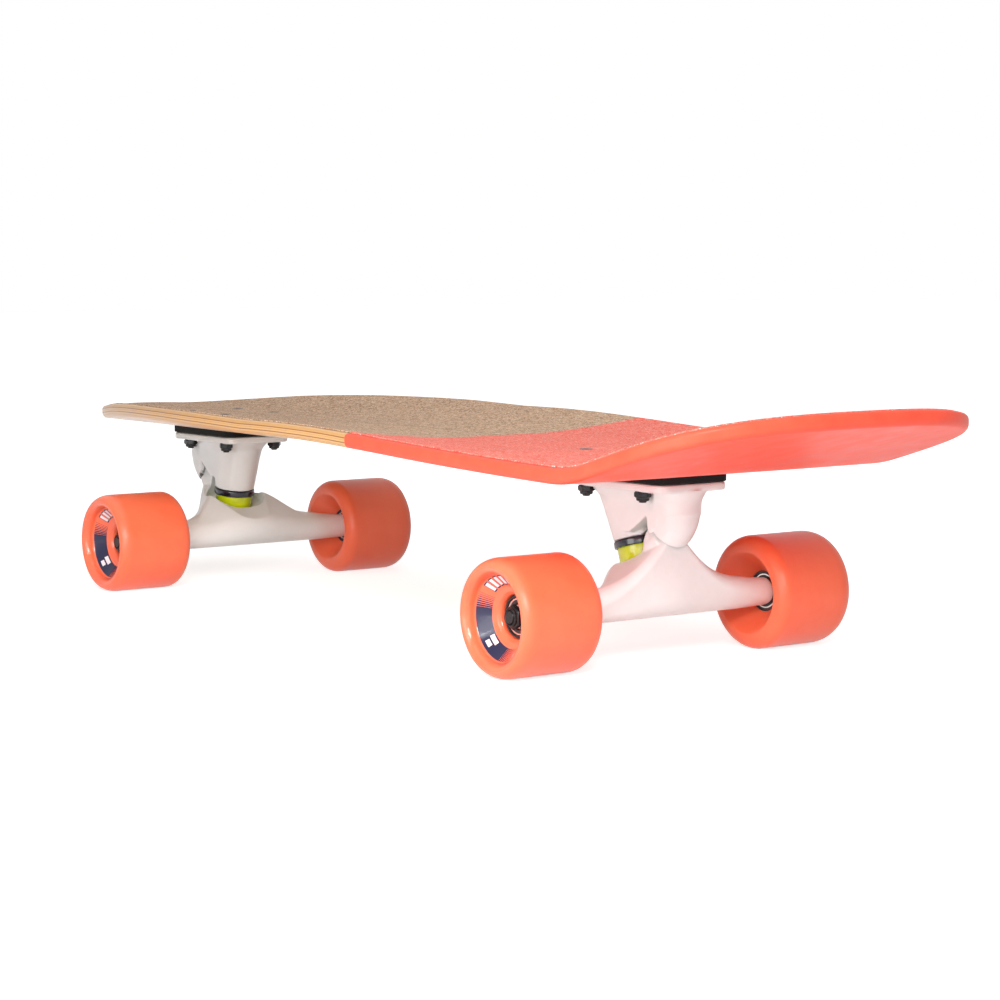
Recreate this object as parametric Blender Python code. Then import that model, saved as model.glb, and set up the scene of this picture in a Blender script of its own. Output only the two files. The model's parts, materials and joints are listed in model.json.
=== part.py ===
"""Surfskate: a two-tone kicktail deck on two steering trucks with four soft wheels.

The frame is metres with +Z up. The floor is z = 0, the nose points to -X, the kicktail to +X,
and the origin is on the floor below the middle of the deck. Each truck is modelled in a frame
of its own, whose origin is on the floor below its axle and whose +X points to the deck's end.
"""
from math import atan2, cos, exp, pi, radians, sin, tan

import bmesh
import bpy
from mathutils import Matrix, Vector

# Gaps between pieces
SEAT_GAP = 0.0003
THREAD_GAP = 0.00036

# Deck
DECK_LENGTH = 0.8425
DECK_WIDTH = 0.2392
DECK_THICKNESS = 0.0092
DECK_EDGE = 0.0030
NOSE_LENGTH = 0.3195
NOSE_POWER = 1.51
NOSE_FULLNESS = 1.89
TAIL_LENGTH = 0.1020
TAIL_POWER = 3.66
TAIL_FULLNESS = 2.65
CAMBER_RISE = 0.0017
FLAT_MARGIN = 0.0035
CONCAVE_DEPTH = 0.0094
CONCAVE_POWER = 1.5
NOSE_CONCAVE_DEPTH = 0.0186
NOSE_CONCAVE_START = -0.0475
NOSE_CONCAVE_LENGTH = 0.2500
TAIL_CONCAVE_START = -0.0170
TAIL_CONCAVE_LENGTH = 0.3600
KICK_CLEARANCE = 0.0128
KICK_BEND = 0.0314
KICK_ANGLE = radians(16.4)

# Grip sheets
GRIP_THICKNESS = 0.0008
GRIP_MARGIN = 0.0015
GRIP_SEAM = 0.0825

# Wheels
WHEEL_DIAMETER = 0.0700
WHEEL_WIDTH = 0.0583
WHEEL_EDGE = 0.0079
WHEEL_FACETS = 24
LIP_ROLL = 0.0012
BOWL_WALL_RADIUS = 0.0253
BOWL_WALL_DEPTH = 0.0078
CONE_FOOT_RADIUS = 0.0180
CONE_FOOT_DEPTH = 0.0153
HUB_LIP_RADIUS = 0.0146
HUB_LIP_DEPTH = 0.0162
HUB_MOUTH_DEPTH = 0.0184
INNER_MOUTH_RADIUS = 0.0240
HUB_OFFSET = -0.0025
CORE_WALL = 0.0012
CORE_SHOULDER = 0.0018
CORE_OVERHANG = 0.0006

# Bearings and what is clamped between them
BEARING_DIAMETER = 0.0220
BEARING_WIDTH = 0.0070
BEARING_SPACING = 0.0086
SHIELD_HOLE = 0.0077
INNER_RACE_RADIUS = 0.0069
SPACER_RADIUS = 0.0056
SPEED_RING_RADIUS = 0.0058
SPEED_RING_THICKNESS = 0.0009

# Axles
WHEELBASE = 0.4840
REAR_AXLE_X = 0.2445
TRACK = 0.1930
AXLE_RADIUS = 0.0040
AXLE_TIP = 0.0004
AXLE_NUT_WIDTH = 0.0128
AXLE_NUT_HEIGHT = 0.0050

# Baseplates, with their places measured towards the deck's end from the kingpin
TRUCK_HEIGHT = 0.0680
PLATE_THICKNESS = 0.0050
PLATE_LENGTH = 0.0875
PLATE_WIDTH = 0.0530
PLATE_CORNER = 0.0070
REAR_PLATE_OFFSET = 0.0100
FRONT_PLATE_OFFSET = 0.0050
BOLTS_OFFSET = 0.0030
PIVOT_OFFSET = 0.0370
PIVOT_DROP = 0.0180
REAR_KINGPIN_X = -0.0215
FRONT_KINGPIN_X = 0.0225
REAR_BOSS_LENGTH = 0.0315
FRONT_BOSS_LENGTH = 0.0355
BOSS_RADIUS = 0.0144
BOSS_ROOT_RADIUS = 0.0195
WEB_WIDTH = 0.0256
WEB_ROOT_WIDTH = 0.0270
WEB_SLOT = 0.0011
WEB_SLOT_TOP = 0.0080
WEB_SLOT_BOTTOM = 0.0250
COLUMN_DROP = 0.0011
COLUMN_RADIUS = 0.0135
CUP_MOUTH_RADIUS = 0.0125
CUP_MOUTH_REACH = 0.0040
CUP_WALL = 0.0019
CUP_FLOOR = 0.0022
CUP_RIM_INSET = 0.0005
CUP_ROOF = 0.0055

# Riser pads
RISER_THICKNESS = 0.0060
RISER_MARGIN = 0.0004

# Truck bolts with their lock nuts
BOLT_SPACING_X = 0.0540
BOLT_SPACING_Y = 0.0413
BOLT_RADIUS = 0.0024
BOLT_HEAD_RADIUS = 0.0044
BOLT_HEAD_HEIGHT = 0.0024
BOLT_NUT_WIDTH = 0.0090
BOLT_NUT_HEIGHT = 0.0056
BOLT_TIP = 0.0012
NUT_POCKET_GAP = 0.0010

# Kingpins, measured down their own axis from the boss face
REAR_KINGPIN_LEAN = radians(16.0)
FRONT_KINGPIN_LEAN = radians(9.0)
KINGPIN_RADIUS = 0.0047
KINGPIN_HEAD_WIDTH = 0.0127
KINGPIN_HEAD_HEIGHT = 0.0048
KINGPIN_HEAD_SINK = 0.0025
KINGPIN_TIP = 0.0012
KINGPIN_NUT_WIDTH = 0.0127
KINGPIN_NUT_HEIGHT = 0.0060
WASHER_THICKNESS = 0.0016
TOP_WASHER_RADIUS = 0.0143
TOP_WASHER_WALL = 0.0014
TOP_WASHER_RIM = 0.0029
LOW_WASHER_RADIUS = 0.0098
BUSHING_RADIUS = 0.0125
BUSHING_BULGE = 0.0004
TOP_BUSHING_HEIGHT = 0.0123
LOW_BUSHING_HEIGHT = 0.0078
LOW_BUSHING_RADIUS = 0.0121
LOW_BUSHING_TIP = 0.0090

# Hangers
HANGER_RING_THICKNESS = 0.0060
RING_HOLE_RADIUS = 0.0072
SEAT_WALL_GAP = 0.0008
SEAT_DEPTH = 0.0015
BOWL_RADIUS = 0.0210
BOWL_SHIFT = -0.0020
BOWL_FLARE = 0.0020
BOWL_HEIGHT = 0.0300
BOWL_STRETCH = 1.06
SWING_GAP = 0.0030
NUT_SWING_GAP = 0.0016
CAVITY_STRETCH = 1.36
ARM_RADIUS = 0.0095
ARM_TIP_RADIUS = 0.0085
ARM_DROP = 0.0090
BEAM_SWELL = 0.0040
BEAM_SPREAD = 0.0300
ARM_TOP = 0.0450
NECK_RISE = 0.0350
NECK_LEAD = 0.0275
NECK_FALL = 1.35
REAR_NECK_SPREAD = 0.0250
FRONT_NECK_SPREAD = 0.0240
NECK_RIDGE_RADIUS = 0.0105
NECK_ROOT_RADIUS = 0.0090
NECK_RADIUS = 0.0115
NECK_TIP_RADIUS = 0.0108
NECK_GAP = 0.0015
NECK_CLEARANCE = 0.0007
NECK_CLEARANCE_LENGTH = 0.0120
NECK_LENGTH = 0.0240
PIN_RADIUS = 0.0057
PIN_REACH = 0.0056
PIN_CHAMFER = 0.0010
PIN_GAP = 0.0004
ARM_TIP_SHARE = 0.6500
REAR_RIDGE_SPREAD = 0.0700
FRONT_RIDGE_SPREAD = 0.0300
REAR_LOBE_OFFSET = 0.0062
FRONT_LOBE_OFFSET = 0.0
RING_LOBE_RADIUS = 0.0085
RING_LOBE_FALL = 4.0
REAR_LOBE_RISE = 0.0135
FRONT_LOBE_RISE = 0.0205
REAR_LOBE_SPREAD = 0.0360
FRONT_LOBE_SPREAD = 0.0370

# Fineness of the round pieces
TURNED_FACETS = 16
CUTTER_FACETS = 18
SMALL_FACETS = 12
HANGER_POINTS = 18
HANGER_STATIONS = 11
HANGER_CROWDING = 0.4
FRONT_STEPS = 15
MIDDLE_STEPS = 5
BEND_STEPS = 3
TAIL_STEPS = 9
SIDE_STEPS = 4
EDGE_STEPS = 2
WELD_DISTANCE = 0.000001
SMOOTH_ANGLE = radians(35)

# Heights above the floor
AXLE_HEIGHT = WHEEL_DIAMETER / 2
PLATE_BOTTOM = AXLE_HEIGHT + TRUCK_HEIGHT
PLATE_TOP = PLATE_BOTTOM + PLATE_THICKNESS
PLATE_MIDDLE = PLATE_BOTTOM + PLATE_THICKNESS / 2
RISER_BOTTOM = PLATE_TOP + SEAT_GAP
DECK_BOTTOM = RISER_BOTTOM + RISER_THICKNESS + SEAT_GAP
GRIP_BOTTOM = DECK_BOTTOM + DECK_THICKNESS + SEAT_GAP
GRIP_TOP = GRIP_BOTTOM + GRIP_THICKNESS

# Where the deck is flat for its trucks
FRONT_AXLE_X = REAR_AXLE_X - WHEELBASE
RISER_LENGTH = PLATE_LENGTH + 2 * RISER_MARGIN
RISER_WIDTH = PLATE_WIDTH + 2 * RISER_MARGIN
FLAT_HALF_WIDTH = RISER_WIDTH / 2 + FLAT_MARGIN
REAR_RISER_X = REAR_AXLE_X + REAR_KINGPIN_X + REAR_PLATE_OFFSET
FRONT_RISER_X = FRONT_AXLE_X - FRONT_KINGPIN_X - FRONT_PLATE_OFFSET
CAMBER_END = min(REAR_RISER_X, -FRONT_RISER_X) - RISER_LENGTH / 2
KICK_START = REAR_RISER_X + RISER_LENGTH / 2 + KICK_CLEARANCE

# The stack down the kingpin
TOP_WASHER_START = SEAT_GAP
TOP_BUSHING_START = TOP_WASHER_START + WASHER_THICKNESS + SEAT_GAP
RING_START = TOP_BUSHING_START + TOP_BUSHING_HEIGHT + SEAT_GAP
RING_END = RING_START + HANGER_RING_THICKNESS
LOW_BUSHING_START = RING_END + SEAT_GAP
LOW_WASHER_START = LOW_BUSHING_START + LOW_BUSHING_HEIGHT + SEAT_GAP
KINGPIN_NUT_START = LOW_WASHER_START + WASHER_THICKNESS + SEAT_GAP
KINGPIN_END = KINGPIN_NUT_START + KINGPIN_NUT_HEIGHT + KINGPIN_TIP

# The pivot cup, measured along the line that its hanger steers about
RING_MIDDLE = (RING_START + RING_END) / 2
CUP_RADIUS = PIN_RADIUS + PIN_GAP + CUP_WALL
CUP_DEPTH = PIN_REACH + PIN_GAP + CUP_FLOOR
CUP_RIM = CUP_RIM_INSET - CUP_MOUTH_REACH

# The stack along an axle, measured from the middle of a hub
HUB_MIDDLE = TRACK / 2 + HUB_OFFSET
BEARING_NEAR = BEARING_SPACING / 2
BEARING_FAR = BEARING_NEAR + BEARING_WIDTH
BEARING_SEAT = BEARING_DIAMETER / 2 + SEAT_GAP
CORE_RADIUS = BEARING_SEAT + CORE_WALL
CORE_END = BEARING_FAR + CORE_OVERHANG
CLAMP_END = BEARING_FAR + SPEED_RING_THICKNESS
HANGER_END = HUB_MIDDLE - CLAMP_END - SEAT_GAP
AXLE_NUT_START = CLAMP_END + SEAT_GAP
AXLE_END = HUB_MIDDLE + AXLE_NUT_START + AXLE_NUT_HEIGHT + AXLE_TIP


def smooth(share):
    """Eases from 0 to 1."""
    share = min(1.0, max(0.0, share))
    return share * share * (3 - 2 * share)


def clear_scene():
    for item in list(bpy.data.objects):
        bpy.data.objects.remove(item, do_unlink=True)


def make_material(name, color, roughness, metallic=0.0):
    material = bpy.data.materials.new(name)
    material.use_nodes = True
    shader = material.node_tree.nodes["Principled BSDF"]
    shader.inputs["Base Color"].default_value = (*color, 1.0)
    shader.inputs["Roughness"].default_value = roughness
    shader.inputs["Metallic"].default_value = metallic
    return material


def circle(radius, height, facets, stretch=1.0):
    turns = [2 * pi * k / facets for k in range(facets)]
    return [Vector((radius * cos(turn), radius * stretch * sin(turn), height)) for turn in turns]


def hexagon(width, height):
    """A hexagon as wide as given across its flats, with a point halfway along each side too."""
    corner = width / 2 / cos(pi / 6)
    reach = [width / 2 if k % 2 else corner for k in range(SMALL_FACETS)]
    turns = [2 * pi * k / SMALL_FACETS for k in range(SMALL_FACETS)]
    return [Vector((r * cos(turn), r * sin(turn), height)) for r, turn in zip(reach, turns)]


def skin(name, rings, tube=False, caps=(True, True)):
    """A closed mesh through rings of equal point counts; a tube also joins its last ring to its first."""
    shape = bmesh.new()
    loops = [[shape.verts.new(point) for point in ring] for ring in rings]
    for loop, wanted in zip((loops[0], loops[-1]), caps):
        if wanted and not tube:
            shape.faces.new(loop)
    if tube:
        loops.append(loops[0])
    for near, far in zip(loops, loops[1:]):
        for k in range(len(near)):
            after = (k + 1) % len(near)
            shape.faces.new((near[k], near[after], far[after], far[k]))
    bmesh.ops.remove_doubles(shape, verts=shape.verts, dist=WELD_DISTANCE)
    bmesh.ops.recalc_face_normals(shape, faces=shape.faces)
    mesh = bpy.data.meshes.new(name)
    shape.to_mesh(mesh)
    shape.free()
    mesh.shade_smooth()
    mesh.set_sharp_from_angle(angle=SMOOTH_ANGLE)
    return mesh


def turned(name, profile, facets=TURNED_FACETS, tube=False):
    """Turns a profile of (radius, height) points about Z."""
    return skin(name, [circle(radius, height, facets) for radius, height in profile], tube)


def arc(center_radius, center_height, radius, start, end, steps=EDGE_STEPS):
    """Profile points along a round edge, from one angle to another."""
    turns = [start + (end - start) * k / steps for k in range(steps + 1)]
    return [(center_radius + radius * cos(turn), center_height + radius * sin(turn)) for turn in turns]


def rounded_plate(name, length, width, thickness, corner):
    """A flat plate with round corners, its lower face at z = 0."""
    outline = []
    for quarter, (side_x, side_y) in enumerate(((1, 1), (-1, 1), (-1, -1), (1, -1))):
        x = side_x * (length / 2 - corner)
        y = side_y * (width / 2 - corner)
        outline += arc(x, y, corner, quarter * pi / 2, (quarter + 1) * pi / 2, 3)
    return skin(name, [[Vector((x, y, z)) for x, y in outline] for z in (0, thickness)])


def add_part(name, mesh, material, parent=None, place=(0, 0, 0), turn=(0, 0, 0)):
    """Adds an object, placed in its truck's frame even where it rides on the steering axis."""
    part = bpy.data.objects.new(name, mesh)
    bpy.context.collection.objects.link(part)
    part.location = place
    part.rotation_euler = turn
    part.parent = parent
    if parent and parent.parent:
        part.matrix_parent_inverse = Matrix.Translation(-parent.location)
    if material and material.name not in mesh.materials:
        mesh.materials.append(material)
    return part


def add_tool(name, mesh, parent, place=(0, 0, 0), turn=(0, 0, 0)):
    """Adds a shape that only cuts or joins other parts."""
    tool = add_part(name, mesh, None, parent, place, turn)
    tool.hide_render = True
    tool.display_type = "WIRE"
    return tool


def combine(part, tool, operation):
    change = part.modifiers.new(tool.name, "BOOLEAN")
    change.object = tool
    change.operation = operation
    change.solver = "EXACT"


def half_width(x):
    """Half the deck's width at x, from its nose and tail curves."""
    into_nose = max(0.0, 1 - (x + DECK_LENGTH / 2) / NOSE_LENGTH)
    into_tail = max(0.0, 1 - (DECK_LENGTH / 2 - x) / TAIL_LENGTH)
    nose = max(0.0, 1 - into_nose**NOSE_POWER) ** (1 / NOSE_FULLNESS)
    tail = max(0.0, 1 - into_tail**TAIL_POWER) ** (1 / TAIL_FULLNESS)
    return DECK_WIDTH / 2 * nose * tail


def deck_rise(x, y):
    """How far the deck's surface stands above its flat truck mounts at a point."""
    camber = CAMBER_RISE * smooth(1 - abs(x) / CAMBER_END)
    ramp = max(0.0, x - KICK_START)
    bent = ramp**2 / 2 / KICK_BEND if ramp < KICK_BEND else ramp - KICK_BEND / 2
    to_nose = min(1.0, max(0.0, (NOSE_CONCAVE_START - x) / NOSE_CONCAVE_LENGTH))
    to_tail = smooth((x - TAIL_CONCAVE_START) / TAIL_CONCAVE_LENGTH)
    depth = CONCAVE_DEPTH * (1 - to_tail) + (NOSE_CONCAVE_DEPTH - CONCAVE_DEPTH) * to_nose
    aside = max(0.0, abs(y) - FLAT_HALF_WIDTH) / (DECK_WIDTH / 2 - FLAT_HALF_WIDTH)
    return camber + tan(KICK_ANGLE) * bent + depth * aside**CONCAVE_POWER


def rim_point(x, inset):
    """The outline's point at x, moved in square to the outline."""
    tip = DECK_LENGTH / 2
    if abs(x) >= tip:
        return (x - inset if x > 0 else x + inset), 0.0
    step = min(WELD_DISTANCE, (tip - abs(x)) / 2)
    slope = (half_width(x + step) - half_width(x - step)) / (2 * step)
    outward = Vector((-slope, 1)).normalized()
    return x - outward.x * inset, half_width(x) - outward.y * inset


def deck_stations():
    """Places along the deck, closer together towards its ends and on the kick's bend."""
    nose, tail = -DECK_LENGTH / 2, DECK_LENGTH / 2
    bend_end = KICK_START + KICK_BEND
    front = [GRIP_SEAM + (nose - GRIP_SEAM) * sin(pi / 2 * k / FRONT_STEPS) for k in range(FRONT_STEPS + 1)]
    middle = [GRIP_SEAM + (KICK_START - GRIP_SEAM) * k / MIDDLE_STEPS for k in range(1, MIDDLE_STEPS)]
    bend = [KICK_START + KICK_BEND * k / BEND_STEPS for k in range(BEND_STEPS)]
    end = [bend_end + (tail - bend_end) * sin(pi / 2 * k / TAIL_STEPS) for k in range(TAIL_STEPS + 1)]
    return front[::-1] + middle + bend + end


def across(width):
    """Places across the deck: a flat middle strip and its rising sides."""
    flat = min(FLAT_HALF_WIDTH, width / 2)
    side = [flat + (width - flat) * k / SIDE_STEPS for k in range(SIDE_STEPS + 1)]
    return [-y for y in reversed(side)] + [0.0] + side


def deck_ring(x, bottom, edge):
    """The outline of a slice across the deck, its edge a list of (inset, height) from the bottom up."""
    rim = [(*rim_point(x, inset), height) for inset, height in edge]
    lower_x, lower_y, low = rim[0]
    upper_x, upper_y, high = rim[-1]
    right = rim[1:-1]
    points = [(lower_x, y, low) for y in across(lower_y)]
    points += right
    points += [(upper_x, y, high) for y in reversed(across(upper_y))]
    points += [(px, -y, height) for px, y, height in reversed(right)]
    return [Vector((px, y, bottom + deck_rise(px, y) + height)) for px, y, height in points]


def build_deck(material):
    """The board itself, with a round edge all the way along its rim."""
    turns = [pi / 2 * k / EDGE_STEPS for k in range(EDGE_STEPS + 1)]
    low = [(DECK_EDGE * (1 - sin(turn)), DECK_EDGE * (1 - cos(turn))) for turn in turns]
    high = [(inset, DECK_THICKNESS - height) for inset, height in reversed(low)]
    rings = [deck_ring(x, DECK_BOTTOM, low + high) for x in deck_stations()]
    return add_part("deck", skin("deck", rings, caps=(False, False)), material)


def build_grip(name, material, front):
    """A grip sheet over the front or the rear of the deck, cut straight across at the seam."""
    seam = GRIP_SEAM - SEAT_GAP / 2 if front else GRIP_SEAM + SEAT_GAP / 2
    beyond = [x for x in deck_stations() if (x < seam) == front and abs(x - GRIP_SEAM) > SEAT_GAP]
    stations = beyond + [seam] if front else [seam] + beyond
    inset = DECK_EDGE + GRIP_MARGIN
    rings = [deck_ring(x, GRIP_BOTTOM, [(inset, 0), (inset, GRIP_THICKNESS)]) for x in stations]
    return add_part(name, skin(name, rings, caps=(not front, front)), material)


def build_riser(truck, material):
    place = (truck.plate_x, 0, RISER_BOTTOM)
    mesh = rounded_plate("riser", RISER_LENGTH, RISER_WIDTH, RISER_THICKNESS, PLATE_CORNER)
    riser = add_part(f"riser_pad_{truck.name}", mesh, material, truck.frame, place)
    combine(riser, truck.bolt_holes, "DIFFERENCE")


def bolt_rings(gap, head_top, end):
    """A countersunk bolt from its head down, made larger all over by a gap."""
    neck = head_top - BOLT_HEAD_HEIGHT
    profile = [(BOLT_HEAD_RADIUS, head_top), (BOLT_RADIUS, neck), (BOLT_RADIUS, end)]
    return [circle(radius + gap, height, SMALL_FACETS) for radius, height in profile]


def bolt_places(kingpin_x):
    middle = kingpin_x + BOLTS_OFFSET
    return [
        Vector((middle + along * BOLT_SPACING_X / 2, side * BOLT_SPACING_Y / 2, 0))
        for along in (1, -1)
        for side in (-1, 1)
    ]


def build_bolt_holes(truck):
    """The tool that drills all four bolt holes, each with a round pocket for its lock nut."""
    pocket = BOLT_NUT_WIDTH / 2 / cos(pi / 6) + NUT_POCKET_GAP
    rings = [circle(BOLT_HEAD_RADIUS + SEAT_GAP, GRIP_TOP + BOLT_HEAD_HEIGHT, SMALL_FACETS)]
    rings += bolt_rings(SEAT_GAP, GRIP_TOP, PLATE_BOTTOM + SEAT_GAP)
    rings += [circle(pocket, PLATE_BOTTOM + SEAT_GAP, SMALL_FACETS)]
    rings += [circle(pocket, PLATE_BOTTOM - 2 * BOLT_NUT_HEIGHT, SMALL_FACETS)]
    shape = bmesh.new()
    for place in bolt_places(truck.kingpin_x):
        shape.from_mesh(skin("bolt hole", [[point + place for point in ring] for ring in rings]))
    mesh = bpy.data.meshes.new("bolt holes")
    shape.to_mesh(mesh)
    shape.free()
    return add_tool(f"bolt_holes_{truck.name}", mesh, truck.frame)


def build_bolts(truck, material):
    """The four bolts, each one solid with the lock nut that holds it."""
    nut_end = PLATE_BOTTOM - BOLT_NUT_HEIGHT
    rings = bolt_rings(0, GRIP_TOP, PLATE_BOTTOM)
    rings += [hexagon(BOLT_NUT_WIDTH, height) for height in (PLATE_BOTTOM, nut_end)]
    rings += [circle(BOLT_RADIUS, height, SMALL_FACETS) for height in (nut_end, nut_end - BOLT_TIP)]
    mesh = skin("mounting bolt", rings)
    for number, place in enumerate(bolt_places(truck.kingpin_x), 1):
        add_part(f"mounting_bolt_{truck.name}_{number}", mesh, material, truck.frame, place)


def web_mesh(truck):
    """The wall between boss and pivot housing, whose lower edge keeps clear of the hanger's neck."""
    along = Matrix.Rotation(truck.steer_turn[1], 4, "Y")
    slot = NECK_RADIUS + WEB_SLOT
    low = truck.pivot + along @ Vector((-slot, 0, -WEB_SLOT_BOTTOM))
    high = truck.pivot + along @ Vector((-slot, 0, -WEB_SLOT_TOP))
    inside, outside = truck.kingpin_x, truck.pivot.x
    root = inside - (PLATE_MIDDLE - truck.kingpin.z) * tan(truck.lean)
    corners = [(inside, low.z), (low.x, low.z), (high.x, high.z), (outside, high.z)]
    corners += [(outside, PLATE_MIDDLE), (root, PLATE_MIDDLE)]

    def half(x):
        return (WEB_WIDTH + (WEB_ROOT_WIDTH - WEB_WIDTH) * (outside - x) / PIVOT_OFFSET) / 2

    return skin("web", [[Vector((x, side * half(x), z)) for x, z in corners] for side in (-1, 1)])


def build_baseplate(truck, material):
    """A plate with a leaning kingpin boss, a pivot cup housing and a web between the two."""
    plate = rounded_plate("plate", PLATE_LENGTH, PLATE_WIDTH, PLATE_THICKNESS, PLATE_CORNER)
    place = (truck.plate_x, 0, PLATE_BOTTOM)
    baseplate = add_part(f"baseplate_{truck.name}", plate, material, truck.frame, place)

    lean = Matrix.Rotation(-truck.lean, 4, "Y")
    face = [lean @ point for point in circle(BOSS_RADIUS, 0, TURNED_FACETS)]
    root_height = truck.boss_length + PLATE_THICKNESS / 2
    root_shift = Vector((-root_height * tan(truck.lean), 0, 0))
    root = [point + root_shift for point in circle(BOSS_ROOT_RADIUS, root_height, TURNED_FACETS)]
    boss = add_tool(f"boss_{truck.name}", skin("boss", [face, root]), truck.frame, truck.kingpin)
    combine(baseplate, boss, "UNION")

    rise = PLATE_MIDDLE - truck.pivot.z
    column = turned("column", [(COLUMN_RADIUS, -COLUMN_DROP), (COLUMN_RADIUS, rise)])
    combine(baseplate, add_tool(f"column_{truck.name}", column, truck.frame, truck.pivot), "UNION")

    combine(baseplate, add_tool(f"web_{truck.name}", web_mesh(truck), truck.frame), "UNION")

    housing = turned("housing", [
        (CUP_MOUTH_RADIUS, -CUP_MOUTH_REACH),
        (COLUMN_RADIUS, CUP_MOUTH_REACH),
        (COLUMN_RADIUS * cos(pi / 8), CUP_DEPTH),
        (COLUMN_RADIUS * cos(pi / 4), CUP_DEPTH + CUP_ROOF * sin(pi / 4)),
        (COLUMN_RADIUS * cos(3 * pi / 8), CUP_DEPTH + CUP_ROOF),
    ])
    tool = add_tool(f"cup_housing_{truck.name}", housing, truck.frame, truck.pivot, truck.steer_turn)
    combine(baseplate, tool, "UNION")

    head = KINGPIN_HEAD_WIDTH / 2 / cos(pi / 6) + SEAT_GAP
    bore = turned("kingpin bore", [
        (KINGPIN_RADIUS + THREAD_GAP, -KINGPIN_HEAD_HEIGHT),
        (KINGPIN_RADIUS + THREAD_GAP, truck.head_start - SEAT_GAP),
        (head, truck.head_start - SEAT_GAP),
        (head, truck.head_end + BOSS_ROOT_RADIUS * sin(truck.lean)),
    ], SMALL_FACETS)
    tool = add_tool(f"kingpin_bore_{truck.name}", bore, truck.frame, truck.kingpin, truck.kingpin_turn)
    combine(baseplate, tool, "DIFFERENCE")
    combine(baseplate, truck.bolt_holes, "DIFFERENCE")

    clearance = NECK_RADIUS + NECK_CLEARANCE
    pocket = turned("cup pocket", [
        (CUP_RADIUS + SEAT_GAP, CUP_DEPTH + SEAT_GAP),
        (CUP_RADIUS + SEAT_GAP, -CUP_MOUTH_REACH),
        (clearance, -CUP_MOUTH_REACH),
        (clearance, -CUP_MOUTH_REACH - NECK_CLEARANCE_LENGTH),
    ], CUTTER_FACETS)
    tool = add_tool(f"cup_pocket_{truck.name}", pocket, truck.frame, truck.pivot, truck.steer_turn)
    combine(baseplate, tool, "DIFFERENCE")


def build_kingpin_stack(truck, materials):
    """The kingpin and everything that it holds, in order down its axis, and the pivot cup."""
    def add_stacked(name, mesh, material):
        add_part(f"{name}_{truck.name}", mesh, material, truck.frame, truck.kingpin, truck.kingpin_turn)

    hole = KINGPIN_RADIUS + THREAD_GAP

    def ring_of(name, start, end, profile):
        """A ring about the kingpin between two distances, from its (radius, distance down) points."""
        points = [(hole, end), (hole, start)] + profile
        return turned(name, [(radius, -down) for radius, down in points], tube=True)

    add_stacked("kingpin", skin("kingpin", [
        hexagon(KINGPIN_HEAD_WIDTH, truck.head_end),
        hexagon(KINGPIN_HEAD_WIDTH, truck.head_start),
        circle(KINGPIN_RADIUS, truck.head_start, SMALL_FACETS),
        circle(KINGPIN_RADIUS, -KINGPIN_END, SMALL_FACETS),
    ]), materials["black steel"])
    nut_end = -KINGPIN_NUT_START - KINGPIN_NUT_HEIGHT
    add_stacked("kingpin_nut", skin("kingpin nut", [
        circle(hole, -KINGPIN_NUT_START, SMALL_FACETS),
        hexagon(KINGPIN_NUT_WIDTH, -KINGPIN_NUT_START),
        hexagon(KINGPIN_NUT_WIDTH, nut_end),
        circle(hole, nut_end, SMALL_FACETS),
    ], tube=True), materials["black steel"])

    start, end = TOP_WASHER_START, TOP_WASHER_START + WASHER_THICKNESS
    lip = end + TOP_WASHER_RIM
    rim = TOP_WASHER_RADIUS - TOP_WASHER_WALL
    cap = [(TOP_WASHER_RADIUS, start), (TOP_WASHER_RADIUS, lip), (rim, lip), (rim, end)]
    add_stacked("top_washer", ring_of("top washer", start, end, cap), materials["blue-black washer"])

    start, end = TOP_BUSHING_START, TOP_BUSHING_START + TOP_BUSHING_HEIGHT
    middle = (start + end) / 2
    barrel = [(BUSHING_RADIUS, start), (BUSHING_RADIUS + BUSHING_BULGE, middle), (BUSHING_RADIUS, end)]
    add_stacked("top_bushing", ring_of("top bushing", start, end, barrel), materials["yellow urethane"])

    start, end = LOW_BUSHING_START, LOW_BUSHING_START + LOW_BUSHING_HEIGHT
    cone = [(LOW_BUSHING_RADIUS, start), (LOW_BUSHING_TIP, end)]
    add_stacked("bottom_bushing", ring_of("bottom bushing", start, end, cone), materials["yellow urethane"])

    start, end = LOW_WASHER_START, LOW_WASHER_START + WASHER_THICKNESS
    flat = [(LOW_WASHER_RADIUS, start), (LOW_WASHER_RADIUS, end)]
    add_stacked("bottom_washer", ring_of("bottom washer", start, end, flat), materials["blue-black washer"])

    bore = PIN_RADIUS + PIN_GAP
    floor = PIN_REACH + PIN_GAP
    cup = turned("pivot cup", [
        (CUP_RADIUS, CUP_DEPTH),
        (CUP_RADIUS, CUP_RIM),
        (bore, CUP_RIM),
        (bore, floor),
    ])
    material = materials["black urethane"]
    add_part(f"pivot_cup_{truck.name}", cup, material, truck.frame, truck.pivot, truck.steer_turn)


def reach(y, spread, power=2.0):
    """Falls from 1 on the middle plane to 0 far from it."""
    return exp(-((abs(y) / spread) ** power))


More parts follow.
